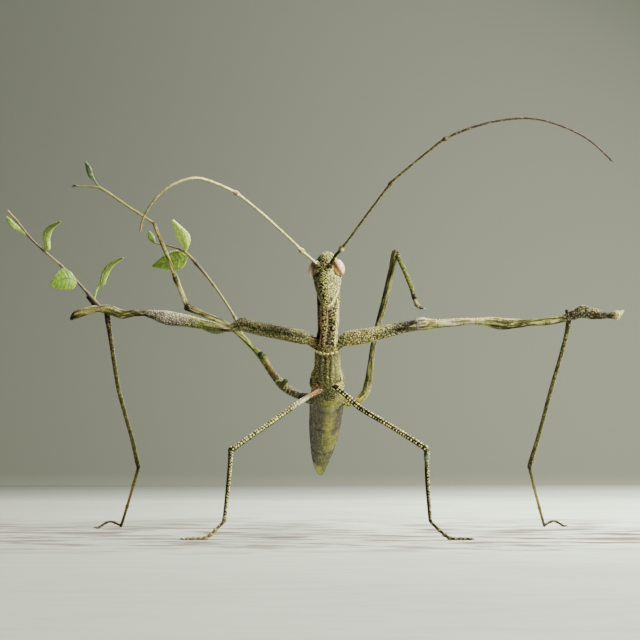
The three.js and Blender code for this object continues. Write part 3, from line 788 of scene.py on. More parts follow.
NECK = Limb(
    "neck",
    ((0.1, -1.4, 65.2, 3.4, 2.8), (0.15, 0.0, 63.4, 5.2, 4.2), (0.3, 0.6, 60.2, 5.7, 4.8),
     (0.3, 1.9, 56.4, 5.4, 5.0), (0.3, 2.8, 51.5, 5.2, 5.2), (0.1, 3.4, 48.4, 5.8, 5.4),
     (0.1, 3.7, 47.6, 5.4, 5.0)),
    ((0.0, Shade.EARTH), (2.0, Shade.DARK), (2.8, Shade.EARTH), (3.4, Shade.RUST), (4.5, Shade.RUST),
     (6.0, Shade.DARK)),
    (
        Feature(2.4, 4.9, (-0.3, -0.95, 0), 7, 0.1, Shade.RUST, 0.7, 1.0),
        # The middle groove, cut in three steps, is darkened with painted shade.
        Feature(1.9, 2.8, (0.58, -0.82, 0), 11, -0.6, Shade.DARK, 1.0, 0.7),
        Feature(2.8, 3.6, (0.4, -0.91, 0), 11, -0.8, Shade.DARK, 1.0, 0.7),
        Feature(3.6, 4.6, (0.16, -0.98, 0), 11, -0.9, Shade.DARK, 1.0, 0.7),
        Feature(0.8, 2.4, (0.95, -0.3, 0), 8, 0.0, Shade.LIME, 0.9, 1.0),
        Feature(2.6, 5.0, (0.78, -0.62, 0), 14, 0.25, Shade.CREAM, 0.85, 1.0),
        Feature(2.6, 5.0, (-0.4, -0.9, 0), 14, 0.25, Shade.BEIGE, 0.55, 1.0),
        # Painted shade on the neck's -X side, away from the key light.
        Feature(2.0, 5.0, (-1, -0.1, 0), 5, 0.0, Shade.DARK, 0.6, 1.0),
        Feature(1.0, 5.0, BACK, 8, 0.25, Shade.OLIVE, 0.6, 1.0),
        # Painted shade in the crevices where the arms meet the neck, over a cut groove.
        Feature(3.9, 4.6, (-0.9, -0.5, 0), 12, -0.35, Shade.DARK, 0.95, 0.7),
        Feature(3.9, 4.6, (0.95, -0.3, 0), 12, -0.35, Shade.DARK, 0.95, 0.7),
    ),
    LEFT, 60, 0.26, 1.0,
)
TRUNK = Limb(
    "trunk",
    ((0.1, 3.7, 47.6, 6.5, 5.6), (0.1, 6.0, 45.0, 6.2, 5.4), (0.1, 9.5, 41.6, 6.5, 5.8),
     (0.1, 13.5, 38.6, 7.4, 6.4), (0.1, 19.0, 36.0, 8.4, 7.0), (0.1, 29.5, 34.2, 9.3, 7.6),
     (-0.1, 44.0, 31.0, 9.0, 7.4), (-0.5, 59.0, 27.0, 8.5, 7.0), (-0.9, 75.0, 22.4, 7.2, 6.0),
     (-1.4, 88.0, 18.4, 5.4, 4.6), (-1.6, 96.0, 15.6, 3.6, 3.2), (-1.5, 100.2, 13.8, 2.0, 1.8)),
    ((0.0, Shade.EARTH), (0.7, Shade.OLIVE), (3.4, Shade.OLIVE), (3.9, Shade.YELLOW), (4.6, Shade.MOSS),
     (6.5, Shade.EARTH), (8.0, Shade.EARTH), (9.4, Shade.OLIVE), (11.0, Shade.OLIVE)),
    (
        Feature(0.0, 0.15, None, 1, 0.22, Shade.BEIGE, 0.6, 0.35),
        Feature(0.45, 0.55, None, 1, -0.22, Shade.DARK, 0.6, 0.4),
        Feature(0.1, 0.9, (-0.15, -0.7, -0.7), 40, 0, Shade.RUST, 0.8, 0.5),
        Feature(0.6, 3.4, (0.02, -0.7, -0.7), 90, 0.45, Shade.CREAM, 0.6, 1.0),
        Feature(0.6, 3.6, (0.4, -0.7, -0.7), 60, 0.45, Shade.CREAM, 0.6, 1.0),
        Feature(0.6, 3.6, (-0.4, -0.7, -0.7), 60, 0.45, Shade.PALE, 0.8, 1.0),
        Feature(0.6, 3.2, (0.2, -0.7, -0.7), 90, -0.25, Shade.DARK, 0.8, 1.0),
        Feature(0.6, 3.2, (-0.2, -0.7, -0.7), 90, -0.25, Shade.DARK, 0.8, 1.0),
        Feature(0.6, 2.6, (0.75, -0.6, -0.5), 40, -0.25, Shade.DARK, 0.8, 0.8),
        Feature(0.6, 2.6, (-0.75, -0.6, -0.5), 40, -0.25, Shade.DARK, 0.6, 0.8),
        # The +X edge is painted cream and the -X edge beige: partly a painted highlight towards the key light.
        Feature(0.3, 3.4, (1, -0.25, -0.2), 12, 0.15, Shade.CREAM, 0.85, 1.0),
        Feature(0.3, 3.4, (-1, -0.25, -0.2), 12, 0.15, Shade.BEIGE, 0.4, 1.0),
        Feature(2.4, 3.0, (1, -0.1, 0), 6, 0.75, Shade.PALE, 0.6, 1.6),
        Feature(2.4, 3.0, (-1, -0.1, 0), 6, 0.75, Shade.GREY, 0.5, 1.6),
        Feature(3.1, 3.6, (0.1, -0.6, -0.8), 10, 0, Shade.DARK, 0.5, 0.8),
        *(Feature(at, at + 0.01, None, 1, -0.2, Shade.DARK, 0.25, 0.9)
          for at in (4.05, 4.8, 5.6, 6.4, 7.2, 8.0, 8.8)),
        Feature(3.9, 6.2, (0.1, -0.26, -0.96), 9, 0.12, Shade.YELLOW, 0.95, 2.0),
        # Painted highlight on the abdomen's glossy ridge.
        Feature(4.2, 5.4, (0.32, -0.26, -0.92), 60, 0.35, Shade.CREAM, 0.75, 1.6),
        Feature(4.0, 5.2, (-0.3, -0.26, -0.92), 60, 0.2, Shade.PALE, 0.4, 1.6),
        # The next two are painted shade: the abdomen darkened all round, and strongly on its -X side away from the key
        # light.
        Feature(4.2, 9.2, None, 1, 0, Shade.DARK, 0.35, 2.0),
        Feature(3.8, 9.6, (-1, -0.1, -0.5), 2, 0, Shade.DARK, 1.0, 2.0),
        Feature(4.6, 9.0, (1, -0.1, -0.1), 6, 0, Shade.DARK, 0.7, 2.0),
        Feature(4.4, 6.0, (-0.75, -0.1, -0.7), 7, -0.3, Shade.EARTH, 0.9, 2.0),
        Feature(4.6, 6.8, (-1, -0.1, -0.7), 4, 0, Shade.BARK, 0.9, 2.0),
        Feature(4.8, 6.8, (1, -0.1, -0.6), 4, 0, Shade.BARK, 0.9, 2.0),
        Feature(7.0, 9.2, (0.2, -0.26, -0.9), 3, 0, Shade.OLIVE, 0.85, 2.0),
        Feature(5.4, 6.8, (0.2, -0.26, -0.96), 20, 0.1, Shade.YELLOW, 0.8, 1.6),
        # Painted highlight on the abdomen's +X side.
        Feature(6.9, 7.8, (0.6, -0.26, -0.8), 8, 0, Shade.YELLOW, 0.6, 2.0),
        Feature(9.4, 10.6, (-0.4, -0.26, -0.8), 4, 0, Shade.YELLOW, 0.8, 2.0),
        Feature(0.8, 10.5, (0, 0.3, 0.95), 120, 0.22, Shade.BEIGE, 0.5, 2.0),
        Feature(0.8, 10.5, (0, 0.3, 0.95), 3, 0, Shade.MOSS, 0.6, 2.0),
    ),
    LEFT, 60, 0.36, 0.56, bare=((3.8, 99.0),), wrinkle=0.4,
)
RIGHT_ARM = (
    Limb(
        "foreleg_right_coxa", ((-1.8, 3.6, 47.5, 2.8), (-4.3, 3.0, 49.0, 2.8)),
        ((0.0, Shade.DARK), (1.0, Shade.BEIGE)), (), BACK, 32, 0.3, 0.6,
    ),
    Limb(
        "foreleg_right_femur",
        ((-4.2, 2.9, 49.1, 2.7), (-6.0, 2.5, 49.6, 3.8), (-11.8, 2.0, 50.8, 3.9), (-17.9, 2.0, 51.9, 3.6),
         (-21.2, 2.0, 52.6, 3.3), (-24.8, 2.0, 51.9, 2.1), (-28.6, 2.0, 52.3, 2.4), (-34.9, 2.0, 53.6, 3.1),
         (-40.2, 2.0, 54.4, 3.7), (-44.5, 2.0, 55.4, 2.1), (-47.9, 2.2, 55.7, 1.8), (-51.6, 2.8, 55.4, 2.4),
         (-54.5, 3.0, 56.4, 2.6), (-57.5, 3.0, 56.8, 2.0), (-60.8, 3.0, 56.1, 2.2), (-63.2, 3.0, 55.2, 2.2),
         (-64.3, 3.0, 54.3, 1.0)),
        ((0.0, Shade.OLIVE), (1.0, Shade.OLIVE), (4.0, Shade.OLIVE), (5.2, Shade.EARTH), (6.5, Shade.LIME),
         (7.6, Shade.LAVENDER), (8.6, Shade.LAVENDER), (9.3, Shade.EARTH), (11.0, Shade.OLIVE),
         (12.5, Shade.PALE), (14.0, Shade.BEIGE), (15.3, Shade.EARTH), (16.0, Shade.DARK)),
        (
            Feature(0.6, 1.2, (0, -0.8, -0.4), 3, 0.1, Shade.PALE, 0.4, 0.8),
            Feature(1.0, 5.0, (0, -1, -0.1), 30, -0.3, Shade.DARK, 0.75, 1.0),
            Feature(1.0, 4.6, (0, -0.8, 0.65), 24, 0.14, Shade.BEIGE, 0.5, 1.0),
            Feature(1.0, 4.8, (0, -0.7, -0.75), 24, 0.14, Shade.BEIGE, 0.6, 1.0),
            Feature(3.9, 4.1, UP, 3, 0.4, Shade.EARTH, 0.6, 0.9),
            Feature(5.6, 9.2, UP, 5, 0.14, Shade.CREAM, 0.65, 1.0),
            # Painted shade on the femur's underside.
            Feature(5.0, 12.0, DOWN, 3, 0, Shade.DARK, 0.6, 1.5),
            Feature(5.2, 8.6, (0, -1, 0.25), 40, -0.16, Shade.EARTH, 0.6, 1.0),
            Feature(7.0, 8.2, (0, -0.9, 0.5), 6, 0.12, Shade.CHALK, 0.5, 0.8),
            Feature(8.75, 8.9, (0, -0.9, -0.4), 3, -0.2, Shade.DARK, 0.9, 0.5),
            Feature(8.3, 9.0, (0, -0.9, 0.35), 4, 0.2, Shade.LAVENDER, 0.9, 0.8),
            Feature(9.3, 9.5, None, 1, -0.16, Shade.DARK, 0.5, 0.5),
            Feature(11.0, 13.6, (0, -0.4, 1), 6, 0.16, Shade.CREAM, 0.6, 1.0),
            Feature(12.9, 13.1, None, 1, -0.12, Shade.DARK, 0.5, 0.4),
            Feature(15.6, 16.0, None, 1, 0, Shade.DARK, 0.9, 0.7),
        ),
        BACK, 36, 0.34, 0.66, slim=0.9, bare=((4.6, 6.6), (9.0, 99.0)),
    ),
    Limb("arm_stub", ((-58.2, 3.2, 57.2, 0.9), (-59.3, 3.3, 58.6, 0.8), (-60.3, 3.4, 59.8, 0.7)),
         ((0.0, Shade.EARTH), (2.0, Shade.DARK)), around=12, step=0.25, grain=0.3),
    Limb(
        "foreleg_right_tibia",
        ((-55.4, 3.6, 55.6, 1.7), (-54.6, 5.6, 49.4, 1.2), (-53.3, 13.5, 37.2, 1.1), (-51.9, 19.0, 30.2, 1.1),
         (-50.6, 25.5, 23.7, 1.1), (-49.5, 32.0, 16.7, 1.4)),
        ((0.0, Shade.EARTH), (1.0, Shade.EARTH), (1.6, Shade.OLIVE), (4.4, Shade.OLIVE), (5.0, Shade.EARTH)),
        # Painted highlight on the +X side, towards the key light, and painted shade on the -X side.
        (Feature(0.5, 4.8, (1, -0.3, 0), 8, 0.08, Shade.PALE, 0.8), Feature(0.3, 4.8, (-1, -0.3, 0), 6, 0.08,
         Shade.DARK, 0.5)),
        slim=0.86,
    ),
    Limb("foreleg_right_basitarsus", ((-49.5, 32.0, 16.4, 1.1), (-52.0, 40.0, 9.5, 1.0),
                                      (-55.4, 49.2, 0.3, 1.0)),
         ((0.0, Shade.EARTH), (1.0, Shade.BEIGE), (2.0, Shade.EARTH)),
         (Feature(0.7, 0.72, None, 1, 0.12, fade=0.4), Feature(1.4, 1.42, None, 1, 0.12, fade=0.4)),
         slim=0.75, grain=0.3),
    Limb("foreleg_right_foot", ((-55.4, 49.0, 0.5, 0.75), (-58.2, 46.2, 1.7, 0.7), (-61.0, 43.2, 0.2, 0.75)),
         ((0.0, Shade.EARTH), (2.0, Shade.BARK)),
         (Feature(0.6, 0.62, None, 1, 0.09, fade=0.3), Feature(1.3, 1.32, None, 1, 0.09, fade=0.3)),
         slim=0.85, grain=0.3),
)
LEFT_ARM = (
    Limb("foreleg_left_coxa", ((2.0, 3.6, 47.5, 2.8), (4.0, 3.0, 48.8, 2.9)),
         ((0.0, Shade.EARTH), (1.0, Shade.PALE)), (), BACK, 32, 0.3, 0.6),
    Limb(
        "foreleg_left_femur",
        ((3.8, 2.9, 48.8, 3.0), (5.4, 2.5, 49.2, 4.2), (11.1, 2.0, 50.2, 3.9), (16.1, 2.0, 51.4, 3.4),
         (20.4, 2.0, 52.3, 3.1), (23.9, 2.0, 52.9, 3.4), (27.6, 2.0, 53.0, 2.3), (31.9, 2.0, 53.3, 2.1),
         (37.1, 2.0, 53.6, 1.7), (41.0, 2.0, 53.4, 2.7), (44.1, 2.0, 53.0, 3.1), (47.6, 2.0, 53.1, 2.4),
         (51.0, 2.0, 53.3, 1.9), (55.5, 2.4, 53.6, 2.1), (59.4, 2.8, 54.3, 2.0), (61.8, 3.0, 55.2, 2.6),
         (64.2, 3.0, 55.9, 3.1), (67.0, 3.0, 55.5, 3.0), (70.6, 3.0, 55.1, 1.8), (73.1, 3.0, 55.2, 2.4)),
        ((0.0, Shade.PALE), (1.4, Shade.BEIGE), (2.2, Shade.LIME), (2.8, Shade.OLIVE), (4.1, Shade.PLUM),
         (4.8, Shade.LAVENDER), (5.3, Shade.BEIGE), (6.0, Shade.PALE), (7.0, Shade.CHALK),
         (8.2, Shade.CREAM), (9.4, Shade.PALE),
         (10.2, Shade.OLIVE), (13.0, Shade.LIME), (14.2, Shade.EARTH), (15.4, Shade.EARTH),
         (16.2, Shade.MOSS), (17.0, Shade.EARTH), (18.4, Shade.EARTH), (19.0, Shade.PALE)),
        (
            *(Feature(at, at + 0.02, (0, -1, 0.35), 2, 0.08, Shade.CREAM, 0.35, 0.3)
              for at in (1.9, 2.06, 2.22, 2.38, 2.54, 2.7, 2.86, 3.02)),
            Feature(2.1, 3.8, (0, -1, -0.25), 26, -0.34, Shade.DARK, 0.85, 0.9),
            Feature(0.8, 4.0, (0, -0.6, -0.85), 14, 0.12, Shade.BEIGE, 0.5, 1.0),
            Feature(3.7, 4.2, FRONT, 3, 0.1, Shade.PLUM, 0.6, 0.7),
            Feature(3.3, 4.1, (0, -0.9, -0.45), 20, -0.35, Shade.DARK, 0.95, 0.6),
            Feature(4.2, 4.5, (0, -1, 0.1), 12, -0.3, Shade.DARK, 0.9, 0.5),
            Feature(4.6, 5.1, (0, -0.6, 0.8), 3, 0.3, Shade.CHALK, 0.7, 0.6),
            Feature(5.4, 8.2, (0, -0.8, 0.6), 3, 0.08, Shade.CREAM, 0.8, 1.0),
            # Painted shade on the femur's underside, in a shady green.
            Feature(5.2, 9.4, (0, -0.35, -0.94), 5, 0.05, Shade.SHADY, 0.8, 1.0),
            Feature(7.4, 9.6, (0, -0.8, -0.3), 3, 0, Shade.PALE, 0.7, 1.2),
            Feature(9.2, 11.4, (0, -0.4, -0.9), 3, 0.15, Shade.DARK, 0.75, 1.0),
            Feature(9.0, 11.2, (0, -0.5, 0.9), 8, 0.12, Shade.CREAM, 0.7, 1.0),
            Feature(9.6, 11.2, (0, -1, 0.1), 40, -0.14, Shade.GREY, 0.6, 1.0),
            Feature(11.4, 14.0, (0, -0.7, -0.8), 4, 0, Shade.EARTH, 0.6, 1.0),
            Feature(15.9, 16.2, UP, 3, 0.35, Shade.RUST, 0.5, 0.7),
            Feature(16.9, 17.3, (0, -0.6, 0.8), 4, 0.12, Shade.BEIGE, 0.8, 0.8),
            Feature(16.4, 18.6, (0, -1, 0.0), 16, -0.15, Shade.DARK, 0.7, 0.8),
            Feature(18.0, 18.1, None, 1, -0.12, Shade.DARK, 0.5, 0.4),
            Feature(18.8, 19.0, None, 1, 0.1, Shade.CREAM, 0.7, 0.3),
        ),
        BACK, 36, 0.34, 0.74, slim=0.9, bare=((3.9, 14.2),),
    ),
    Limb("arm_bud", ((60.4, 2.8, 55.4, 0.7), (60.3, 2.7, 56.0, 0.8), (60.2, 2.6, 56.4, 0.7)),
         ((0.0, Shade.DARK), (2.0, Shade.DARK)), around=12, step=0.2, grain=0.2),
    Limb("arm_flare", ((73.6, 2.9, 55.6, 1.4), (74.1, 2.85, 56.0, 0.9), (74.5, 2.8, 56.3, 0.6)),
         ((0.0, Shade.CREAM), (2.0, Shade.CREAM)), around=14, step=0.2, grain=0.4),
    Limb(
        "foreleg_left_tibia",
        ((61.0, 3.6, 54.6, 1.6), (60.6, 5.0, 51.4, 1.2), (59.5, 9.0, 45.6, 1.1), (57.6, 16.0, 37.0, 1.1),
         (55.4, 26.0, 25.5, 1.1), (53.4, 34.0, 16.5, 1.4)),
        ((0.0, Shade.EARTH), (1.2, Shade.OLIVE), (4.4, Shade.OLIVE), (5.0, Shade.EARTH)),
        # Painted highlight on the +X side, towards the key light, and painted shade on the -X side.
        (Feature(0.5, 4.8, (1, -0.3, 0), 8, 0.08, Shade.PALE, 0.8), Feature(0.3, 4.8, (-1, -0.3, 0), 6, 0.08,
         Shade.DARK, 0.5)),
        slim=0.86,
    ),
    Limb("foreleg_left_basitarsus", ((53.5, 34.0, 16.3, 1.1), (56.0, 43.0, 8.9, 1.0), (58.9, 51.0, 0.3, 1.0)),
         ((0.0, Shade.EARTH), (1.0, Shade.BEIGE), (2.0, Shade.EARTH)),
         (Feature(0.7, 0.72, None, 1, 0.12, fade=0.4), Feature(1.4, 1.42, None, 1, 0.12, fade=0.4)),
         slim=0.75, grain=0.3),
    Limb("foreleg_left_foot", ((58.9, 51.0, 0.5, 0.75), (61.7, 52.4, 1.6, 0.7), (64.4, 53.2, 0.2, 0.75)),
         ((0.0, Shade.EARTH), (2.0, Shade.BARK)),
         (Feature(0.6, 0.62, None, 1, 0.09, fade=0.3), Feature(1.3, 1.32, None, 1, 0.09, fade=0.3)),
         slim=0.85, grain=0.3),
)
FOOT_RINGS = (
    *(Feature(at, at + 0.02, None, 1, 0.16, Shade.CREAM, 0.5, 0.32) for at in (0.05, 0.95, 1.45, 1.95, 2.5, 3.0, 3.5)),
    *(Feature(at, at + 0.02, None, 1, -0.06, Shade.DARK, 0.8, 0.2) for at in (1.2, 1.7, 2.25, 2.75, 3.3)),
)
RIGHT_MIDLEG = (
    Limb("midleg_right_coxa", ((-2.4, 14.0, 39.8, 2.4), (-2.9, 12.2, 38.0, 2.9), (-2.1, 10.8, 36.6, 2.2)),
         ((0.0, Shade.OLIVE), (1.0, Shade.DARK), (2.0, Shade.ROSE)), (), BACK, 30, 0.3, 0.5),
    Limb(
        "midleg_right_femur",
        ((-2.0, 10.2, 36.4, 1.5), (-4.5, 8.0, 34.9, 1.5), (-6.8, 5.2, 33.4, 1.6), (-15.3, -4.6, 27.2, 1.4),
         (-21.6, -10.6, 22.8, 1.4), (-23.6, -12.0, 21.4, 1.6)),
        ((0.0, Shade.ROSE), (1.0, Shade.ROSE), (1.5, Shade.CHALK), (2.0, Shade.CHALK), (2.3, Shade.OLIVE),
         (4.0, Shade.MOSS), (4.8, Shade.EARTH), (5.0, Shade.DARK)),
        (Feature(2.4, 5.0, (0.5, -0.4, -0.8), 4, 0.0, Shade.DARK, 0.8),
         Feature(2.4, 5.0, (0.1, -1, 0), 30, 0.0, Shade.OLIVE, 0.8),
         Feature(4.75, 5.0, None, 1, 0.2, Shade.EARTH, 0.5, 0.5)),
        BACK, 24, 0.36, 0.7, slim=0.84,
    ),
    Limb("midleg_right_tibia", ((-23.6, -12.0, 21.3, 1.2), (-23.7, -13.2, 18.4, 1.1),
                                (-24.1, -15.5, 12.8, 1.05), (-24.9, -18.5, 4.4, 0.9)),
         ((0.0, Shade.DARK), (0.5, Shade.EARTH), (2.0, Shade.EARTH), (3.0, Shade.DARK)),
         (Feature(0.0, 0.1, None, 1, 0.15, Shade.CREAM, 0.6, 0.4),
          Feature(2.94, 3.0, None, 1, 0.14, Shade.CREAM, 0.6, 0.4))),
    Limb("midleg_right_foot", ((-24.9, -18.5, 4.3, 0.7), (-27.1, -19.6, 2.2, 0.7), (-29.4, -20.8, 0.35, 0.85),
                               (-32.2, -21.5, 0.24, 0.72), (-34.2, -22.0, 0.22, 0.66)),
         ((0.0, Shade.EARTH), (2.0, Shade.BEIGE), (4.0, Shade.BARK)), FOOT_RINGS, around=16, step=0.3),
)
LEFT_MIDLEG = (
    Limb("midleg_left_coxa", ((2.6, 14.0, 40.0, 2.4), (3.1, 12.2, 38.4, 2.9), (2.2, 10.8, 37.4, 2.2)),
         ((0.0, Shade.PALE), (1.0, Shade.OLIVE), (2.0, Shade.CREAM)), (), BACK, 30, 0.3, 0.5),
    Limb(
        "midleg_left_femur",
        ((1.9, 10.2, 37.5, 1.5), (4.8, 8.0, 35.1, 1.5), (7.9, 5.2, 32.2, 1.6), (16.4, -4.0, 26.9, 1.4),
         (22.4, -10.4, 23.0, 1.5), (24.4, -12.0, 21.6, 1.6)),
        ((0.0, Shade.EARTH), (1.0, Shade.EARTH), (2.6, Shade.EARTH), (3.2, Shade.RUST), (3.6, Shade.EARTH),
         (4.7, Shade.EARTH), (4.9, Shade.TEAL), (5.0, Shade.PALE)),
        (Feature(1.6, 4.8, (-0.4, -0.6, -0.7), 3, 0.0, Shade.DARK, 0.8),
         Feature(4.75, 5.0, (0.5, 0, 0.8), 2, 0.3, Shade.CREAM, 0.6, 0.4)),
        BACK, 24, 0.36, 0.7, slim=0.84,
    ),
    Limb("midleg_left_tibia", ((24.4, -12.0, 21.5, 1.2), (24.3, -13.2, 18.4, 1.1), (24.4, -15.5, 12.8, 1.05),
                               (24.9, -18.5, 4.4, 0.9)),
         ((0.0, Shade.TEAL), (0.9, Shade.TEAL), (1.3, Shade.DARK), (3.0, Shade.DARK)),
         (Feature(0.0, 0.6, None, 1, 0.15, fade=0.8),)),
    Limb("midleg_left_foot", ((24.9, -18.5, 4.3, 0.7), (27.1, -19.5, 2.2, 0.7), (29.6, -20.8, 0.35, 0.85),
                              (32.1, -21.5, 0.24, 0.72), (34.1, -22.0, 0.22, 0.66)),
         ((0.0, Shade.DARK), (2.0, Shade.EARTH), (4.0, Shade.DARK)), FOOT_RINGS, around=16, step=0.3),
)
RIGHT_HINDLEG = (
    Limb("hindleg_right_coxa", ((-3.0, 27.0, 34.0, 2.8), (-6.0, 26.4, 34.9, 2.5)),
         ((0.0, Shade.OLIVE), (1.0, Shade.EARTH)), (), BACK, 28, 0.32, 0.5),
    Limb(
        "hindleg_right_femur",
        ((-5.8, 26.4, 34.8, 2.3), (-8.2, 26.4, 35.8, 2.5), (-11.4, 27.0, 37.8, 2.6), (-14.2, 27.0, 41.2, 2.2),
         (-17.1, 26.0, 45.3, 1.9), (-20.8, 24.0, 49.4, 1.7), (-25.4, 21.0, 53.3, 1.6),
         (-31.4, 17.0, 56.0, 1.8), (-35.8, 14.2, 57.8, 2.4)),
        ((0.0, Shade.DARK), (1.0, Shade.PLUM), (1.8, Shade.OLIVE), (3.0, Shade.MOSS), (5.0, Shade.LIME),
         (7.4, Shade.OLIVE), (8.0, Shade.DARK)),
        (Feature(0.2, 7.4, (0.5, -0.5, -0.7), 6, 0.1, Shade.DARK, 0.6),
         Feature(0.6, 7.4, (-0.4, -0.6, 0.7), 8, 0.12, Shade.PALE, 0.5)),
        BACK, 24, 0.42, 0.5, slim=0.85, bare=((4.2, 99.0),),
    ),
    Limb("hind_stub", ((-13.4, 26.6, 40.2, 1.4), (-15.6, 24.6, 44.0, 1.2), (-16.6, 24.0, 45.3, 2.0),
                       (-17.3, 23.8, 46.1, 1.5)),
         ((0.0, Shade.EARTH), (1.2, Shade.BEIGE), (2.0, Shade.DEEP), (3.0, Shade.DARK)), around=16, step=0.3,
         grain=0.3),
    Limb("hind_bud", ((-11.4, 26.2, 38.2, 1.2), (-10.9, 25.6, 38.8, 1.3), (-10.6, 25.2, 39.2, 1.1)),
         ((0.0, Shade.OLIVE), (2.0, Shade.DEEP)), around=14, step=0.25, grain=0.3),
    Limb(
        "hindleg_right_tibia",
        ((-36.0, 14.0, 58.4, 1.5), (-37.2, 13.2, 61.6, 1.4), (-38.5, 13.0, 64.8, 1.6), (-39.4, 12.8, 67.2, 1.2),
         (-41.4, 12.0, 72.3, 1.15), (-44.1, 11.0, 78.9, 1.1)),
        ((0.0, Shade.DARK), (0.4, Shade.CREAM), (1.6, Shade.PALE), (2.0, Shade.OLIVE), (2.6, Shade.PALE),
         (5.0, Shade.BEIGE)),
        (Feature(1.9, 2.1, None, 1, 0.1, Shade.OLIVE, 0.4, 0.6),
         # Painted shade on the -X side, away from the key light.
         Feature(0.2, 4.8, (-1, -0.3, -0.4), 4, 0.06, Shade.OLIVE, 0.7)),
        slim=0.82, bare=((0.0, 99.0),),
    ),
    Limb("hindleg_right_foot", ((-44.1, 11.0, 79.0, 0.9), (-51.1, 12.0, 83.6, 0.75), (-58.4, 14.0, 88.4, 0.9),
                                (-60.6, 14.6, 88.8, 0.55), (-64.4, 15.8, 89.1, 0.5)),
         ((0.0, Shade.BEIGE), (2.0, Shade.PALE), (4.0, Shade.PALE)),
         tuple(Feature(at, at + 0.02, None, 1, 0.08, Shade.BEIGE, 0.4, 0.3) for at in (0.6, 1.2, 2.0, 3.0)),
         around=16, slim=0.8, grain=0.2),
)
LEFT_HINDLEG = (
    Limb("hindleg_left_coxa", ((3.0, 27.2, 33.8, 2.8), (6.2, 27.0, 33.6, 2.5)),
         ((0.0, Shade.OLIVE), (1.0, Shade.YELLOW)), (), BACK, 28, 0.32, 0.5),
    Limb(
        "hindleg_left_femur",
        ((6.0, 27.0, 33.6, 2.3), (8.4, 27.0, 34.2, 2.5), (10.0, 26.8, 35.9, 2.4), (10.8, 26.0, 38.8, 2.2),
         (11.4, 25.0, 43.2, 1.7), (12.1, 24.0, 48.4, 1.5), (13.3, 22.4, 53.6, 1.6), (15.4, 20.0, 61.5, 1.9),
         (16.6, 18.2, 67.5, 1.6), (17.7, 17.0, 72.1, 2.3)),
        ((0.0, Shade.OLIVE), (1.0, Shade.YELLOW), (2.4, Shade.PALE), (3.6, Shade.OLIVE), (6.0, Shade.GREY),
         (8.0, Shade.OLIVE), (9.0, Shade.EARTH)),
        # Painted highlight on the +X side, towards the key light, and painted shade on the -X side.
        (Feature(0.6, 8.6, (1, -0.3, 0), 8, 0.12, Shade.PALE, 0.7),
         Feature(2.0, 8.6, (-1, -0.4, 0), 6, 0.08, Shade.DARK, 0.5)),
        BACK, 24, 0.42, 0.5, slim=0.85, bare=((0.0, 99.0),),
    ),
    Limb("hindleg_left_tibia", ((17.9, 17.0, 72.0, 1.4), (18.8, 16.5, 69.8, 1.2), (19.9, 16.0, 67.4, 1.15),
                                (21.9, 14.5, 62.2, 1.2), (22.4, 14.0, 60.2, 1.4)),
         ((0.0, Shade.EARTH), (1.0, Shade.LIME), (3.0, Shade.LIME), (4.0, Shade.EARTH)),
         # Painted highlight on the +X side, towards the key light.
         (Feature(0.4, 3.6, (1, -0.3, 0.3), 6, 0.08, Shade.PALE, 0.7),)),
    Limb("hindleg_left_foot", ((22.4, 14.0, 60.1, 1.05), (23.0, 13.5, 58.4, 1.0), (24.1, 13.0, 57.4, 0.7)),
         ((0.0, Shade.RUST), (0.4, Shade.CREAM), (1.0, Shade.BEIGE), (2.0, Shade.EARTH)), FOOT_RINGS[:3],
         around=16, step=0.3),
)
TORSO = (HEAD, NECK, TRUNK) + FEELER_CUPS
LEGS = RIGHT_ARM + LEFT_ARM + RIGHT_MIDLEG + LEFT_MIDLEG + RIGHT_HINDLEG + LEFT_HINDLEG
LOOSE_LIMBS = ("head_rim", "arm_stub", "arm_bud", "arm_flare", "hind_stub", "hind_bud")


@dataclass(frozen=True)
class BeadRow:
    """A row of larger granules along or around a limb."""

    limb: str
    start: float
    end: float
    toward: tuple[float, float, float]
    toward_end: tuple[float, float, float]
    spacing: float = 0.55
    radius: float = 0.24
    shade: Shade = Shade.CREAM


def clear_of_skin(spots: np.ndarray, middle: np.ndarray, half: np.ndarray, turn: float) -> np.ndarray:
    """Tells how far points are from the surface of an upright egg that leans sideways.

    Args:
        spots: the points.
        middle: the egg's middle.
        half: its half sizes.
        turn: its lean about Y, in radians.

    Returns:
        About how many millimetres each point is outside the egg.
    """
    turned = (spots - middle) @ np.array(Matrix.Rotation(turn, 3, "Y"))
    return (np.linalg.norm(turned / half, axis=1) - 1) * half.mean()


@dataclass
class Survey:
    """Which limb's surface each of some points lies on, and where on it."""

    limb: np.ndarray
    station: np.ndarray
    facing: np.ndarray
    join: np.ndarray
    lane: np.ndarray
    run: np.ndarray


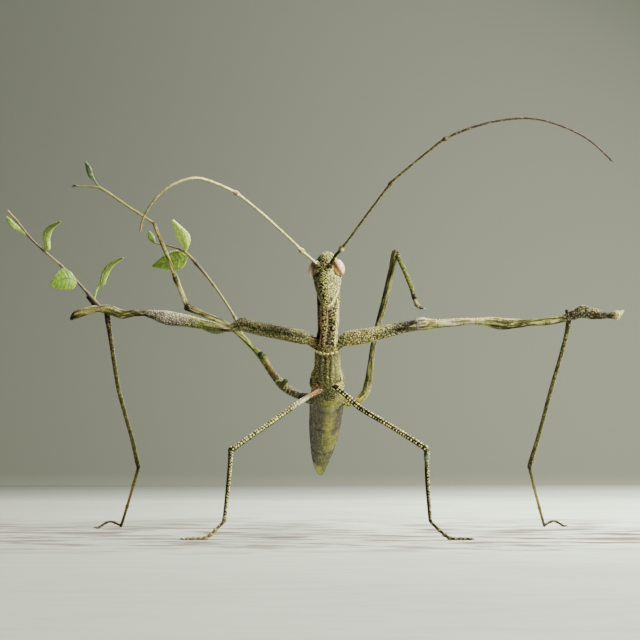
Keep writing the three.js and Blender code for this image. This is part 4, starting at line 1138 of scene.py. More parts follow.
@dataclass
class Flesh:
    """The skin over head, trunk and legs: one closed surface with its granules."""

    shop: Workshop
    limbs: tuple[Limb, ...] = TORSO + (HEAD_RIM,) + LEGS
    join_reach: float = 0.7
    join_passes: int = 10
    sample_step: float = 0.45
    batch: int = 4000
    socket_lip: float = 0.24
    shadow: float = 0.82
    under: float = 0.8
    seed: int = 11

    def __post_init__(self) -> None:
        """Lays out the samples of every limb's middle line."""
        rows = []
        for number, limb in enumerate(self.limbs):
            where = limb.places(self.sample_step)
            middle, size, along, _, _ = limb.frames(where)
            run = np.append(0, np.cumsum(np.linalg.norm(np.diff(middle, axis=0), axis=1)))
            rows.append(np.column_stack([middle, size.mean(axis=1), along, where, np.full(len(where), number),
                                         run]))
        self.samples = np.concatenate(rows)
        self.firsts = np.searchsorted(self.samples[:, 8], np.arange(len(self.limbs)))
        self.tight = np.array([limb.name in LOOSE_LIMBS for limb in self.limbs])

    def survey(self, spots: np.ndarray) -> Survey:
        """Finds the limb that each point lies on.

        Args:
            spots: points on or near the skin, in millimetres.

        Returns:
            The limb, station, side and nearness to another limb of each point.
        """
        middle, radius = self.samples[:, :3], self.samples[:, 3]
        nearest, join = [], []
        for start in range(0, len(spots), self.batch):
            some = spots[start:start + self.batch]
            squares = (some**2).sum(axis=1)[:, None] + (middle**2).sum(axis=1) - 2 * some @ middle.T
            gap = np.sqrt(np.maximum(squares, 0)) - radius
            nearest.append(gap.argmin(axis=1))
            by_limb = np.minimum.reduceat(gap, self.firsts, axis=1)
            by_limb[:, self.tight] += 9
            two = np.partition(by_limb, 1, axis=1)[:, :2]
            join.append(np.clip(1 - (two[:, 1] - two[:, 0]) / self.join_reach, 0, 1))
        index = np.concatenate(nearest)
        off = spots - middle[index]
        along = self.samples[index, 4:7]
        ahead = (off * along).sum(axis=1)
        lane = off - along * ahead[:, None]
        facing = lane / np.maximum(np.linalg.norm(lane, axis=1), 1e-9)[:, None]
        limb = self.samples[index, 8].astype(int)
        station = self.samples[index, 7]
        for number, part in enumerate(self.limbs):
            mine = limb == number
            if mine.any():
                station[mine] = np.clip(station[mine] + ahead[mine] / part.pace(station[mine]), 0,
                                        len(part.stations) - 1)
        joined = np.concatenate(join)
        joined[self.tight[limb]] = 0
        return Survey(limb, station, facing, joined, lane, self.samples[index, 9] + ahead)

    def tint(self, found: Survey) -> np.ndarray:
        """Returns the skin's linear colour at surveyed points."""
        tint = np.empty_like(found.facing)
        for number, limb in enumerate(self.limbs):
            mine = found.limb == number
            if mine.any():
                tint[mine] = limb.tint(found.station[mine], found.facing[mine])
        return tint

    def union(self) -> bpy.types.Mesh:
        """Returns the lofts of all limbs as one closed surface, in millimetres."""
        tools = bpy.data.collections.new("lofts")
        whole = None
        for limb in self.limbs:
            work = loft(limb.rings())
            mesh = bpy.data.meshes.new(limb.name)
            work.to_mesh(mesh)
            work.free()
            tube = bpy.data.objects.new(limb.name, mesh)
            if whole is None:
                bpy.context.scene.collection.objects.link(tube)
                whole = tube
            else:
                tools.objects.link(tube)
        joiner = whole.modifiers.new("join", "BOOLEAN")
        joiner.operation, joiner.operand_type, joiner.solver = "UNION", "COLLECTION", "MANIFOLD"
        joiner.collection = tools
        graph = bpy.context.evaluated_depsgraph_get()
        mesh = bpy.data.meshes.new_from_object(whole.evaluated_get(graph))
        for tube in [whole, *tools.objects]:
            bpy.data.objects.remove(tube)
        bpy.data.collections.remove(tools)
        return mesh

    def shaped(self, mesh: bpy.types.Mesh) -> bmesh.types.BMesh:
        """Softens the joints, raises the eyes' lips and levels the soles."""
        work = bmesh.new()
        work.from_mesh(mesh)
        bpy.data.meshes.remove(mesh)
        bmesh.ops.remove_doubles(work, verts=work.verts, dist=0.012)
        work.verts.ensure_lookup_table()
        spots = np.array([vertex.co for vertex in work.verts])
        join = self.survey(spots).join
        ends = np.array([[vertex.index for vertex in edge.verts] for edge in work.edges])
        count = np.bincount(ends.ravel(), minlength=len(spots))[:, None]
        for _ in range(self.join_passes):
            total = np.zeros_like(spots)
            np.add.at(total, ends[:, 0], spots[ends[:, 1]])
            np.add.at(total, ends[:, 1], spots[ends[:, 0]])
            spots += (total / np.maximum(count, 1) - spots) * (0.6 * join)[:, None]
        for eye in EYES:
            off = clear_of_skin(spots, np.array(eye.middle), eye.half(), eye.lean())
            lip = self.socket_lip * np.exp(-((np.maximum(off, 0) / 0.42) ** 2)) * (off > -0.6)
            away = spots - np.array(HEAD.stations[2][:3])
            away[:, 2] = 0
            spots += away / np.maximum(np.linalg.norm(away, axis=1), 0.1)[:, None] * (lip * 0.8)[:, None]
        spots[:, 2] = np.maximum(spots[:, 2], 0)
        for vertex, spot in zip(work.verts, spots):
            vertex.co = spot
        return work

    def build(self) -> bpy.types.Object:
        """Builds the skin, sinks the eyes' sockets into it, paints and dresses it, and returns it."""
        work = self.shaped(self.union())
        bmesh.ops.recalc_face_normals(work, faces=work.faces)
        skin = self.shop.add("skin", work, ShellFinish())
        self.sink_sockets(skin)
        spots = (spots_of(skin) - np.array(self.shop.shift)) / MM
        found = self.survey(spots)
        tint, grain, bark = self.tint(found), np.empty(len(spots)), np.empty(len(spots))
        for number, limb in enumerate(self.limbs):
            mine = found.limb == number
            if mine.any():
                grain[mine] = limb.grain
                bark[mine] = limb.bark(found.station[mine])
        grain *= 1 - 0.6 * bark
        bark *= np.array([limb.wrinkle for limb in self.limbs])[found.limb]
        # Painted shadow in the joins between limbs; the more granular the skin, the darker its ground.
        tint *= (1 - self.shadow * found.join**2)[:, None] * (1 - self.under * grain)[:, None]
        paint(skin, "tint", tint)
        paint(skin, "grain", grain)
        paint(skin, "bark", bark)
        paint(skin, "run", found.run)
        paint(skin, "lane", found.lane)
        nodes = [limb.name for limb in LEGS if limb.name in self.shop.frame["nodes"]]
        nodes += ["head", "prothorax", "mesothorax", "metathorax"]
        nodes += ["abdomen_front", "abdomen_middle", "abdomen_tip"]
        self.shop.dress(skin, "shell", nodes)
        return skin

    def sink_sockets(self, skin: bpy.types.Object) -> None:
        """Cuts the eyes' sockets into the skin."""
        sockets = bpy.data.collections.new("sockets")
        for eye in EYES:
            work = eye.ball(0.04)
            socket = self.shop.add(eye.name + "_socket", work, ShellFinish())
            bpy.context.scene.collection.objects.unlink(socket)
            sockets.objects.link(socket)
        cut = skin.modifiers.new("sockets", "BOOLEAN")
        cut.operation, cut.operand_type, cut.solver = "DIFFERENCE", "COLLECTION", "MANIFOLD"
        cut.collection = sockets
        mesh = bpy.data.meshes.new_from_object(skin.evaluated_get(bpy.context.evaluated_depsgraph_get()))
        skin.modifiers.clear()
        old, skin.data = skin.data, mesh
        bpy.data.meshes.remove(old)
        for socket in list(sockets.objects):
            bpy.data.objects.remove(socket)
        bpy.data.collections.remove(sockets)
        mesh.name = skin.name


@dataclass
class Granules:
    """The beads of the shell, scattered over the skin and set in rows."""

    shop: Workshop
    flesh: Flesh
    skin: bpy.types.Object
    seed: int = 5
    flat: float = 0.72
    sink: float = 0.25

    def template(self) -> tuple[np.ndarray, np.ndarray]:
        """Returns one round bead's points and triangles, with its hidden underside cut flat."""
        work = bmesh.new()
        bmesh.ops.create_icosphere(work, subdivisions=2, radius=1.0)
        cut = bmesh.ops.bisect_plane(work, geom=[*work.verts, *work.edges, *work.faces], dist=1e-4,
                                     plane_co=(0, 0, -0.12), plane_no=(0, 0, -1), clear_outer=True)
        rim = [part for part in cut["geom_cut"] if isinstance(part, bmesh.types.BMEdge)]
        bmesh.ops.contextual_create(work, geom=rim)
        bmesh.ops.triangulate(work, faces=work.faces)
        bmesh.ops.recalc_face_normals(work, faces=work.faces)
        spots = np.array([vertex.co for vertex in work.verts])
        faces = np.array([[vertex.index for vertex in face.verts] for face in work.faces])
        work.free()
        return spots, faces

    def scatter(self, spacing: float, limbs: tuple[Limb, ...]) -> tuple[np.ndarray, ...]:
        """Picks evenly strewn places on some limbs' skin.

        Args:
            spacing: about how far apart the places are, in millimetres.
            limbs: the limbs that they lie on.

        Returns:
            The places in millimetres and the skin's outward directions there.
        """
        rng = np.random.default_rng(self.seed)
        mesh = self.skin.data
        mesh.calc_loop_triangles()
        corners = np.empty(len(mesh.loop_triangles) * 3, np.int32)
        mesh.loop_triangles.foreach_get("vertices", corners)
        corners = corners.reshape(-1, 3)
        spots = (spots_of(self.skin) - np.array(self.shop.shift)) / MM
        first, second, third = (spots[corners[:, side]] for side in range(3))
        normal = np.cross(second - first, third - first)
        area = np.linalg.norm(normal, axis=1)
        number = int(area.sum() / 2 / spacing**2 * 6)
        picked = rng.choice(len(area), number, p=area / area.sum())
        along, aside = rng.random(number)[:, None], rng.random(number)[:, None]
        over = (along + aside) > 1
        along, aside = np.where(over, 1 - along, along), np.where(over, 1 - aside, aside)
        places = first[picked] + (second - first)[picked] * along + (third - first)[picked] * aside
        _, kept = np.unique(np.floor(places / spacing).astype(int), axis=0, return_index=True)
        places, normal = places[kept], (normal / np.maximum(area, 1e-12)[:, None])[picked[kept]]
        found = self.flesh.survey(places)
        light = self.flesh.tint(found).mean(axis=1)
        names = {limb.name for limb in limbs}
        wanted = np.array([limb.name in names for limb in self.flesh.limbs])[found.limb]
        for eye in EYES:
            wanted &= clear_of_skin(places, np.array(eye.middle), eye.half(), eye.lean()) > 0.15
        wanted &= (places[:, 2] > 0.3) & (light > 0.018 + 0.03 * rng.random(len(light)))
        for number, limb in enumerate(self.flesh.limbs):
            if limb.bare:
                mine = found.limb == number
                wanted[mine] &= limb.bark(found.station[mine]) < rng.random(mine.sum())
        return places[wanted], normal[wanted]

    def row(self, row: BeadRow) -> tuple[np.ndarray, np.ndarray]:
        """Returns the places and outward directions of a row's beads."""
        limb = next(limb for limb in self.flesh.limbs if limb.name == row.limb)
        part = np.linspace(0, 1, 200)
        where = row.start + (row.end - row.start) * part
        middle, size, along, wide, deep = limb.frames(where)
        aim = np.array(row.toward) * (1 - part[:, None]) + np.array(row.toward_end) * part[:, None]
        aim -= along * (aim * along).sum(axis=1)[:, None]
        aim /= np.linalg.norm(aim, axis=1)[:, None]
        reach = np.hypot((aim * wide).sum(axis=1) * size[:, 0], (aim * deep).sum(axis=1) * size[:, 1])
        height = sum((feature.height * feature.weight(where, limb.pace(where), aim)
                      for feature in limb.features if feature.height), np.zeros(len(where)))
        path = middle + aim * (reach + height)[:, None]
        run = np.append(0, np.cumsum(np.linalg.norm(np.diff(path, axis=0), axis=1)))
        marks = np.linspace(0, run[-1], max(2, int(run[-1] / row.spacing) + 1))
        marks = marks + row.spacing * 0.5 * (np.random.default_rng(len(marks)).random(len(marks)) - 0.5)
        return (np.column_stack([np.interp(marks, run, path[:, axis]) for axis in range(3)]),
                np.column_stack([np.interp(marks, run, aim[:, axis]) for axis in range(3)]))

    def stamp(self, name: str, places: np.ndarray, outward: np.ndarray, radius: np.ndarray,
              tint: np.ndarray) -> bpy.types.Object:
        """Makes one object of many beads.

        Args:
            name: its name.
            places: where the beads sit, in millimetres.
            outward: which way each stands out.
            radius: each bead's radius.
            tint: each bead's linear colour.

        Returns:
            The object.
        """
        rng = np.random.default_rng(self.seed)
        spots, faces = self.template()
        side = np.cross(outward, rng.normal(size=outward.shape))
        side /= np.linalg.norm(side, axis=1)[:, None]
        other = np.cross(outward, side)
        stretch = radius[:, None] * (1 + 0.25 * (rng.random((len(radius), 2)) - 0.5))
        body = (side[:, None] * (spots[:, 0] * stretch[:, :1])[..., None]
                + other[:, None] * (spots[:, 1] * stretch[:, 1:])[..., None]
                + outward[:, None] * (spots[:, 2] * radius[:, None] * self.flat)[..., None])
        body += (places - outward * (radius * (self.sink - 0.2))[:, None])[:, None]
        mesh = bpy.data.meshes.new(name)
        every = (faces[None] + np.arange(len(places))[:, None, None] * len(spots)).reshape(-1, 3)
        metres = body.reshape(-1, 3) * MM + np.array(self.shop.shift)
        mesh.from_pydata(metres.tolist(), [], every.tolist())
        mesh.polygons.foreach_set("use_smooth", np.ones(len(every), bool))
        mesh.materials.append(BeadFinish().material())
        piece = bpy.data.objects.new(name, mesh)
        bpy.context.scene.collection.objects.link(piece)
        paint(piece, "tint", np.repeat(tint, len(spots), axis=0))
        return piece

    def coloured(self, places: np.ndarray, lift: float) -> np.ndarray:
        """Returns the skin's colour at some places, lifted towards cream and varied."""
        rng = np.random.default_rng(self.seed + 1)
        tint = self.flesh.tint(self.flesh.survey(places))
        light = np.clip(tint.mean(axis=1) / 0.16, 0.1, 1.2)
        share = np.clip(lift * (0.3 + 1.4 * rng.random(len(places))) * light, 0, 1)[:, None]
        return (tint * (1 - share) + Shade.CREAM.linear() * share) * (0.7 + 0.6 * rng.random((len(places), 1)))

    def build(self) -> None:
        """Builds the beads of head and neck, trunk, arms and legs, and the rows."""
        rng = np.random.default_rng(self.seed + 2)
        fields = {
            "head_granules": ((HEAD,), 0.47, 0.175, 0.42),
            "neck_granules": ((NECK,), 0.56, 0.2, 0.16),
            "trunk_granules": ((TRUNK,), 0.86, 0.18, 0.2),
            "right_arm_granules": ((RIGHT_ARM[1], RIGHT_ARM[0]), 0.5, 0.14, 0.08),
            "left_arm_granules": ((LEFT_ARM[1], LEFT_ARM[0]), 0.52, 0.16, 0.3),
            "leg_granules": (RIGHT_MIDLEG[:1] + LEFT_MIDLEG[:1] + RIGHT_HINDLEG[:2] + LEFT_HINDLEG[:2],
                             0.66, 0.17, 0.4),
        }
        for name, (limbs, spacing, size, lift) in fields.items():
            places, outward = self.scatter(spacing, limbs)
            radius = size * (0.65 + 0.7 * rng.random(len(places)))
            piece = self.stamp(name, places, outward, radius, self.coloured(places, lift))
            self.shop.dress(piece, "shell", [])
        places, outward, radius, tint = [], [], [], []
        for row in BEAD_ROWS:
            spots, aims = self.row(row)
            places.append(spots)
            outward.append(aims / np.linalg.norm(aims, axis=1)[:, None])
            radius.append(row.radius * (0.7 + 0.6 * rng.random(len(spots))))
            tint.append(np.repeat(row.shade.linear()[None], len(spots), axis=0)
                        * (0.6 + 0.5 * rng.random((len(spots), 1))))
        piece = self.stamp("bead_rows", *(np.concatenate(part) for part in (places, outward, radius, tint)))
        self.shop.dress(piece, "shell", [])


BEAD_ROWS = (
    BeadRow("trunk", 0.08, 0.08, (-1, -0.15, 0), (1, -0.15, 0), 0.62, 0.34, Shade.CREAM),
    BeadRow("trunk", 0.3, 0.3, (-1, -0.15, 0), (1, -0.15, 0), 0.8, 0.26, Shade.BEIGE),
    BeadRow("trunk", 1.9, 3.3, (0.98, -0.45, 0), (0.9, -0.6, -0.3), 0.62, 0.32, Shade.CREAM),
    BeadRow("neck", 2.2, 5.2, (0.85, -0.5, 0), (0.62, -0.78, 0), 0.52, 0.26, Shade.CREAM),
    BeadRow("neck", 2.6, 5.2, (0.9, -0.4, 0), (0.86, -0.5, 0), 0.52, 0.24, Shade.CREAM),
    BeadRow("neck", 2.4, 5.2, (-0.05, -1, 0), (-0.3, -0.95, 0), 0.6, 0.25, Shade.BEIGE),
    BeadRow("neck", 2.8, 5.2, (-0.66, -0.74, 0), (-0.62, -0.78, 0), 0.55, 0.22, Shade.ROSE),
    BeadRow("midleg_right_femur", 0.5, 1.5, (0, -0.8, 0.6), (0, -0.8, 0.6), 0.6, 0.24, Shade.ROSE),
    BeadRow("midleg_right_femur", 1.9, 4.9, (-0.3, -0.6, 0.8), (-0.3, -0.6, 0.8), 0.92, 0.22, Shade.CREAM),
    BeadRow("midleg_right_femur", 1.5, 4.9, (0.1, -1, -0.1), (0.1, -1, -0.1), 0.92, 0.26, Shade.CREAM),
    BeadRow("midleg_left_femur", 0.4, 4.9, (0.35, -0.7, 0.6), (0.35, -0.7, 0.6), 0.95, 0.27, Shade.CREAM),
    BeadRow("midleg_left_femur", 0.4, 4.9, (-0.1, -1, -0.3), (-0.1, -1, -0.3), 0.95, 0.24, Shade.CREAM),
    *(BeadRow(f"midleg_{side}_tibia", 0.15, 2.95, (along, -0.7, 0), (along, -0.7, 0), space, size, shade)
      for side in ("left", "right")
      for along, space, size, shade in ((0.75, 0.62, 0.21, Shade.CREAM), (0.1, 0.7, 0.17, Shade.PALE))),
    *(BeadRow(f"foreleg_{side}_tibia", 0.3, 4.9, (0.9, -0.5, 0), (0.9, -0.5, 0), 0.75, 0.17, Shade.PALE)
      for side in ("left", "right")),
    BeadRow("hindleg_left_femur", 3.4, 8.6, (0.9, -0.4, 0), (0.9, -0.4, 0), 0.9, 0.17, Shade.PALE),
    BeadRow("foreleg_left_femur", 5.4, 9.0, (0, -0.5, 0.85), (0, -0.5, 0.85), 0.7, 0.2, Shade.CREAM),
    BeadRow("foreleg_right_femur", 6.0, 8.4, (0, -0.4, 0.9), (0, -0.4, 0.9), 0.7, 0.2, Shade.CREAM),
)


# ------------------------------------------------------------------ eyes, feelers, mouth and claws


@dataclass
class Eye:
    """One faceted eye, leaning in towards the crown."""

    side: str
    middle: tuple[float, float, float]
    pale: Shade
    streak_and_shadow: Shade
    slant: tuple[float, float, float]
    streak_at: float
    half_width: float
    across: float = 3.0
    deep: float = 3.6
    tall: float = 4.3
    tilt: float = 18.0

    @property
    def name(self) -> str:
        """Returns the eye's node name."""
        return f"eye_{self.side}"

    def half(self) -> np.ndarray:
        """Returns the half sizes."""
        return np.array([self.across, self.deep, self.tall]) / 2

    def lean(self) -> float:
        """Returns the lean about Y in radians."""
        return np.radians(-self.tilt if self.side == "left" else self.tilt)

    def ball(self, swell: float = 0.0) -> bmesh.types.BMesh:
        """Returns the eyeball in millimetres, grown by swell."""
        work = bmesh.new()
        bmesh.ops.create_uvsphere(work, u_segments=48, v_segments=32, radius=1.0)
        half = self.half() + swell
        turn = Matrix.Rotation(self.lean(), 4, "Y") @ Matrix.Diagonal((*half, 1.0))
        bmesh.ops.transform(work, matrix=Matrix.Translation(self.middle) @ turn, verts=work.verts)
        return work

    def build(self, shop: Workshop) -> None:
        """Builds and dresses the eye."""
        centre = Vector(self.middle) + Vector(self.slant).normalized() * self.streak_at
        finish = EyeFinish(self.name, self.pale, self.streak_and_shadow, shop.place(*centre), self.slant, self.half_width)
        shop.dress(shop.add(self.name + "_ball", self.ball(), finish), "eye", [self.name])


EYES = (
    # The right eye's wide dark band is a painted shadow of the feeler's base; the left eye's rust streak is its own
    # colour.
    Eye("right", (-3.1, -5.1, 66.3), Shade.ROSE, Shade.DARK, (1.0, 0, 0.1), 0.0, 0.0008),
    Eye("left", (2.85, -5.1, 66.6), Shade.ROSE, Shade.RUST, (0.84, 0.0, 0.545), -0.32, 0.00042),
)


@dataclass(frozen=True)
class Tube:
    """A separate limb with its own piece, finish and slot name."""

    limb: Limb
    slot: str
    nodes: tuple[str, ...]
    finish: Finish = ShellFinish()

    def build(self, shop: Workshop, extra: tuple[Limb, ...] = ()) -> None:
        """Builds, paints and dresses the tube and the small tubes that belong to it."""
        work = bmesh.new()
        tints, counts = [], []
        for limb in (self.limb, *extra):
            part = loft(limb.rings())
            counts.append(len(part.verts))
            merge(work, part)
            tints.append(limb)
        piece = shop.add(self.limb.name, work, self.finish)
        spots = (spots_of(piece) - np.array(shop.shift)) / MM
        tint, done = np.empty_like(spots), 0
        for limb, count in zip(tints, counts):
            some = spots[done:done + count]
            where = limb.places(0.2)
            middle, _, along, _, _ = limb.frames(where)
            near = ((some[:, None] - middle[None]) ** 2).sum(axis=2).argmin(axis=1)
            off = some - middle[near]
            facing = off - along[near] * (off * along[near]).sum(axis=1)[:, None]
            facing /= np.maximum(np.linalg.norm(facing, axis=1), 1e-9)[:, None]
            tint[done:done + count] = limb.tint(where[near], facing)
            done += count
        paint(piece, "tint", tint)
        paint(piece, "grain", np.full(len(spots), self.limb.grain))
        shop.dress(piece, self.slot, list(self.nodes))


def feeler_rings(first: float, last: float, count: int, height: float) -> tuple[Feature, ...]:
    """Returns fine joint rings spread evenly between two stations."""
    return tuple(Feature(at, at + 0.01, None, 1, height, fade=0.16) for at in np.linspace(first, last, count))


RIGHT_FEELER = Limb(
    "feeler_right",
    ((-2.4, -7.6, 67.3, 0.9), (-4.5, -9.4, 69.0, 0.8), (-5.7, -10.1, 69.95, 0.85), (-6.25, -10.4, 70.45, 1.7),
     (-6.8, -10.75, 71.0, 0.85), (-7.8, -11.4, 72.0, 0.7),
     (-15.7, -16.0, 79.0, 0.7), (-21.3, -18.8, 83.35, 0.75), (-22.1, -19.2, 83.9, 1.5), (-22.9, -19.6, 84.35, 0.75),
     (-31.1, -23.0, 87.1, 0.7), (-35.4, -23.5, 86.3, 0.65), (-39.6, -23.0, 84.0, 0.6),
     (-43.0, -22.0, 80.2, 0.55), (-44.5, -21.0, 77.6, 0.5), (-45.4, -20.0, 74.5, 0.5)),
    ((0.0, Shade.CREAM), (2.2, Shade.CREAM), (3.0, Shade.YELLOW), (3.8, Shade.CREAM), (7.4, Shade.CREAM),
     (8.0, Shade.ROSE), (8.6, Shade.CREAM), (11.0, Shade.CREAM), (13.0, Shade.BEIGE), (15.0, Shade.BEIGE)),
    (Feature(0.0, 10.0, (-0.4, -0.2, -0.9), 2, 0, Shade.DARK, 0.85, 1.5),
     Feature(10.0, 15.0, (-0.2, -0.2, -0.9), 2, 0, Shade.OLIVE, 0.6, 1.5),
     *feeler_rings(5.2, 7.4, 9, 0.05), *feeler_rings(9.2, 14.9, 26, 0.045)),
    BACK, 14, 0.2, 0.5, slim=0.86,
)
LEFT_FEELER = Limb(
    "feeler_left",
    ((0.8, -7.8, 67.2, 0.9), (2.1, -9.4, 69.4, 0.85), (3.0, -10.05, 70.3, 0.85), (3.55, -10.4, 70.95, 1.7),
     (4.1, -10.7, 71.6, 0.85), (5.7, -11.4, 73.6, 0.7),
     (9.2, -13.2, 78.3, 0.7), (14.9, -15.9, 85.7, 0.75), (15.6, -16.2, 86.5, 1.45), (16.4, -16.5, 87.35, 0.75),
     (28.0, -19.8, 96.6, 0.75), (28.9, -20.0, 97.1, 1.4), (29.9, -20.2, 97.65, 0.75), (35.9, -21.0, 99.9, 0.65),
     (42.9, -21.0, 101.5, 0.6), (50.2, -20.0, 101.9, 0.55), (58.0, -18.0, 100.0, 0.52),
     (64.5, -16.0, 96.8, 0.5), (70.0, -14.0, 92.1, 0.5)),
    ((0.0, Shade.DARK), (2.2, Shade.DARK), (3.0, Shade.OLIVE), (3.8, Shade.DARK), (7.5, Shade.EARTH),
     (8.0, Shade.PLUM), (8.6, Shade.EARTH), (10.6, Shade.EARTH), (11.0, Shade.LAVENDER), (11.6, Shade.EARTH),
     (13.0, Shade.BARK), (18.0, Shade.BARK)),
    (Feature(2.9, 3.1, (0.5, -0.7, -0.5), 3, 0.1, Shade.CREAM, 0.95, 0.4),
     Feature(4.4, 11.0, (0.7, -0.3, -0.6), 3, 0, Shade.PALE, 0.5, 1.5),
     Feature(12.0, 18.0, (0, -0.4, -0.9), 2, 0, Shade.DARK, 0.5, 1.5),
     *feeler_rings(5.2, 7.4, 9, 0.05), *feeler_rings(9.2, 10.6, 9, 0.05), *feeler_rings(12.2, 17.9, 30, 0.045)),
    BACK, 14, 0.2, 0.5, slim=0.86,
)


PALPS = tuple(
    Limb(f"palp_{side}", ((sign * 0.9, -5.6, 58.0, 0.7), (sign * 1.4, -6.2, 57.2, 0.55), (sign * 1.5, -6.9, 56.9, 0.5),
                          (sign * 1.1, -7.6, 56.9, 0.32)),
         ((0.0, Shade.OLIVE), (1.5, Shade.BEIGE), (3.0, Shade.PALE)),
         tuple(Feature(at, at + 0.02, None, 1, -0.06, Shade.DARK, 0.6, 0.15) for at in (1.0, 2.0)),
         around=14, step=0.14, grain=0.3)
    for side, sign in (("right", -1), ("left", 1))
)


@dataclass(frozen=True)
class Claws:
    """A pair of hooks with a small pad between them at the end of a foot."""

    leg: str
    heading: tuple[float, float, float]
    length: float = 1.3
    spread: float = 24.0
    droop: float = 0.35
    girth: float = 0.52

    def limbs(self) -> tuple[Limb, ...]:
        """Returns the two hooks and the pad as limbs."""
        foot = next(limb for limb in LEGS if limb.name == f"{self.leg}_foot")
        root = Vector(foot.stations[-1][:3])
        low = max(self.girth * 0.3, root.z - self.droop)
        parts = []
        for side in (-1, 1):
            out = Matrix.Rotation(np.radians(side * self.spread), 3, "Z") @ Vector(self.heading)
            bend = root + out * self.length * 0.6 + Vector((0, 0, 0.12))
            tip = root + out * self.length
            tip.z = min(tip.z, low)
            route = ((*root, self.girth), (*(root + out * 0.35), self.girth * 0.95), (*bend, self.girth * 0.62),
                     (*tip, 0.14))
            parts.append(Limb(f"{self.leg}_hook_{side + 2}", route,
                              ((0.0, Shade.RUST), (1.4, Shade.DARK), (3.0, Shade.DARK)), (), UP, 12, 0.12, 0.2))
        pad = root + Vector(self.heading) * 0.55
        parts.append(Limb(f"{self.leg}_pad", ((*root, 0.4), (*pad, 0.46), (*(pad + Vector(self.heading) * 0.2), 0.3)),
                          ((0.0, Shade.BEIGE), (2.0, Shade.EARTH)), (), UP, 12, 0.15, 0.2))
        return tuple(parts)

    def build(self, shop: Workshop) -> None:
        """Builds and dresses the claws."""
        first, *others = self.limbs()
        Tube(first, "claw", (f"{self.leg}_claws",), HornFinish()).build(shop, tuple(others))


CLAWS = (
    Claws("foreleg_right", (-0.72, -0.69, 0.02)), Claws("foreleg_left", (0.95, 0.3, 0.02)),
    Claws("midleg_right", (-0.97, -0.22, 0.03)), Claws("midleg_left", (0.97, -0.22, 0.03)),
    Claws("hindleg_right", (-0.95, 0.28, 0.05)), Claws("hindleg_left", (0.93, -0.3, -0.18)),
)


# ------------------------------------------------------------------ twigs and leaves


@dataclass(frozen=True)
class Blade:
    """A leaf: a thin cambered sheet with a raised midrib and side veins, on its stalk."""

    name: str
    route: tuple[tuple[float, ...], ...]
    facing: tuple[float, float, float] = BACK
    shade: Shade = Shade.LEAF
    tip: Shade = Shade.LEAF
    rim: Shade = Shade.SPRING
    veins: int = 7
    camber: float = 0.18
    thickness: float = 0.22
    cells: tuple[int, int] = (72, 22)

    def build(self, shop: Workshop) -> None:
        """Builds, paints and dresses the leaf."""
        limb = Limb(self.name, self.route, ((0.0, self.shade), (len(self.route) - 1.0, self.tip)))
        work = bmesh.new()
        bmesh.ops.create_grid(work, x_segments=self.cells[0], y_segments=self.cells[1], size=1.0)
        flat = np.array([vertex.co for vertex in work.verts])
        along, aside = (flat[:, 0] + 1) / 2, flat[:, 1]
        where = along * (len(self.route) - 1)
        middle = limb.middles(where)
        half = glide(limb.sizes()[:, :1], np.ones(len(self.route) - 1), where)[:, 0]
        teeth = along * self.veins * 2.5 % 1
        half = half * (1 - 0.16 * teeth * np.abs(aside) ** 3 * np.clip(along * 8 - 1, 0, 1))
        ends = np.array(self.route[-1][:3]) - np.array(self.route[0][:3])
        across = np.cross(ends, self.facing)
        across /= np.linalg.norm(across)
        face = np.cross(across, ends / np.linalg.norm(ends))
        bend = self.camber * half * (aside**2 * 1.6 - 0.8) + 0.1 * half * np.sin(along * 9) * aside
        phase = (along - 0.16 * np.abs(aside)) * self.veins
        side = np.clip(1 - np.abs(phase % 1 - 0.5) / 0.13, 0, 1) * (half > 0.5)
        rib = np.clip(1 - np.abs(aside) * half / 0.16, 0, 1)
        vein = np.maximum(side * (1 - np.abs(aside) * 0.5), rib)
        bulge = 0.1 * np.abs(np.sin(phase * np.pi)) * np.sin(np.abs(aside) * np.pi)
        front = middle + across * (aside * half)[:, None] + face * (bend - 0.08 * vein - bulge)[:, None]
        marks = work.verts.layers.float.new("vein")
        edges = work.verts.layers.float.new("edge")
        places = work.verts.layers.float.new("where")
        for vertex, spot, mark, off, at in zip(work.verts, front, vein, np.abs(aside), where):
            vertex.co = spot - face * self.thickness / 2
            vertex[marks], vertex[edges], vertex[places] = mark, off, at
        grown = bmesh.ops.extrude_face_region(work, geom=list(work.faces))["geom"]
        upper = [part for part in grown if isinstance(part, bmesh.types.BMVert)]
        bmesh.ops.translate(work, verts=upper, vec=Vector(face * self.thickness))
        bmesh.ops.recalc_face_normals(work, faces=work.faces)
        edge = np.array([vertex[edges] for vertex in work.verts])
        at = np.array([vertex[places] for vertex in work.verts])
        piece = shop.add(self.name + "_blade", work, LeafFinish())
        tint = limb.tint(at, np.tile(face, (len(at), 1)))
        rim = np.clip((edge - 0.82) / 0.14, 0, 1)[:, None] * 0.7
        paint(piece, "tint", tint * (1 - rim) + self.rim.linear() * rim)
        shop.dress(piece, "leaf", [self.name])


ARM_TWIG = Limb(
    "arm_twig",
    ((-57.2, 3.0, 57.3, 1.2), (-60.4, 3.0, 60.9, 0.75), (-63.0, 3.0, 63.8, 0.65), (-66.8, 2.5, 67.6, 0.6),
     (-71.2, 2.0, 71.4, 0.55), (-74.3, 1.5, 74.3, 0.55), (-77.8, 1.0, 78.7, 0.5), (-80.1, 1.0, 81.3, 0.5)),
    ((0.0, Shade.BARK), (1.5, Shade.PLUM), (3.4, Shade.BEIGE), (4.2, Shade.DARK), (5.2, Shade.BARK),
     (7.0, Shade.PALE)),
    (Feature(0.5, 6.5, (0.7, -0.5, 0.4), 4, 0, Shade.BEIGE, 0.6, 1.5),
     *(Feature(at, at + 0.02, None, 1, 0.14, Shade.BARK, 0.5, 0.35) for at in (0.9, 1.95, 3.0, 4.0, 5.2, 6.0))),
    BACK, 14, 0.22, 0.3,
)
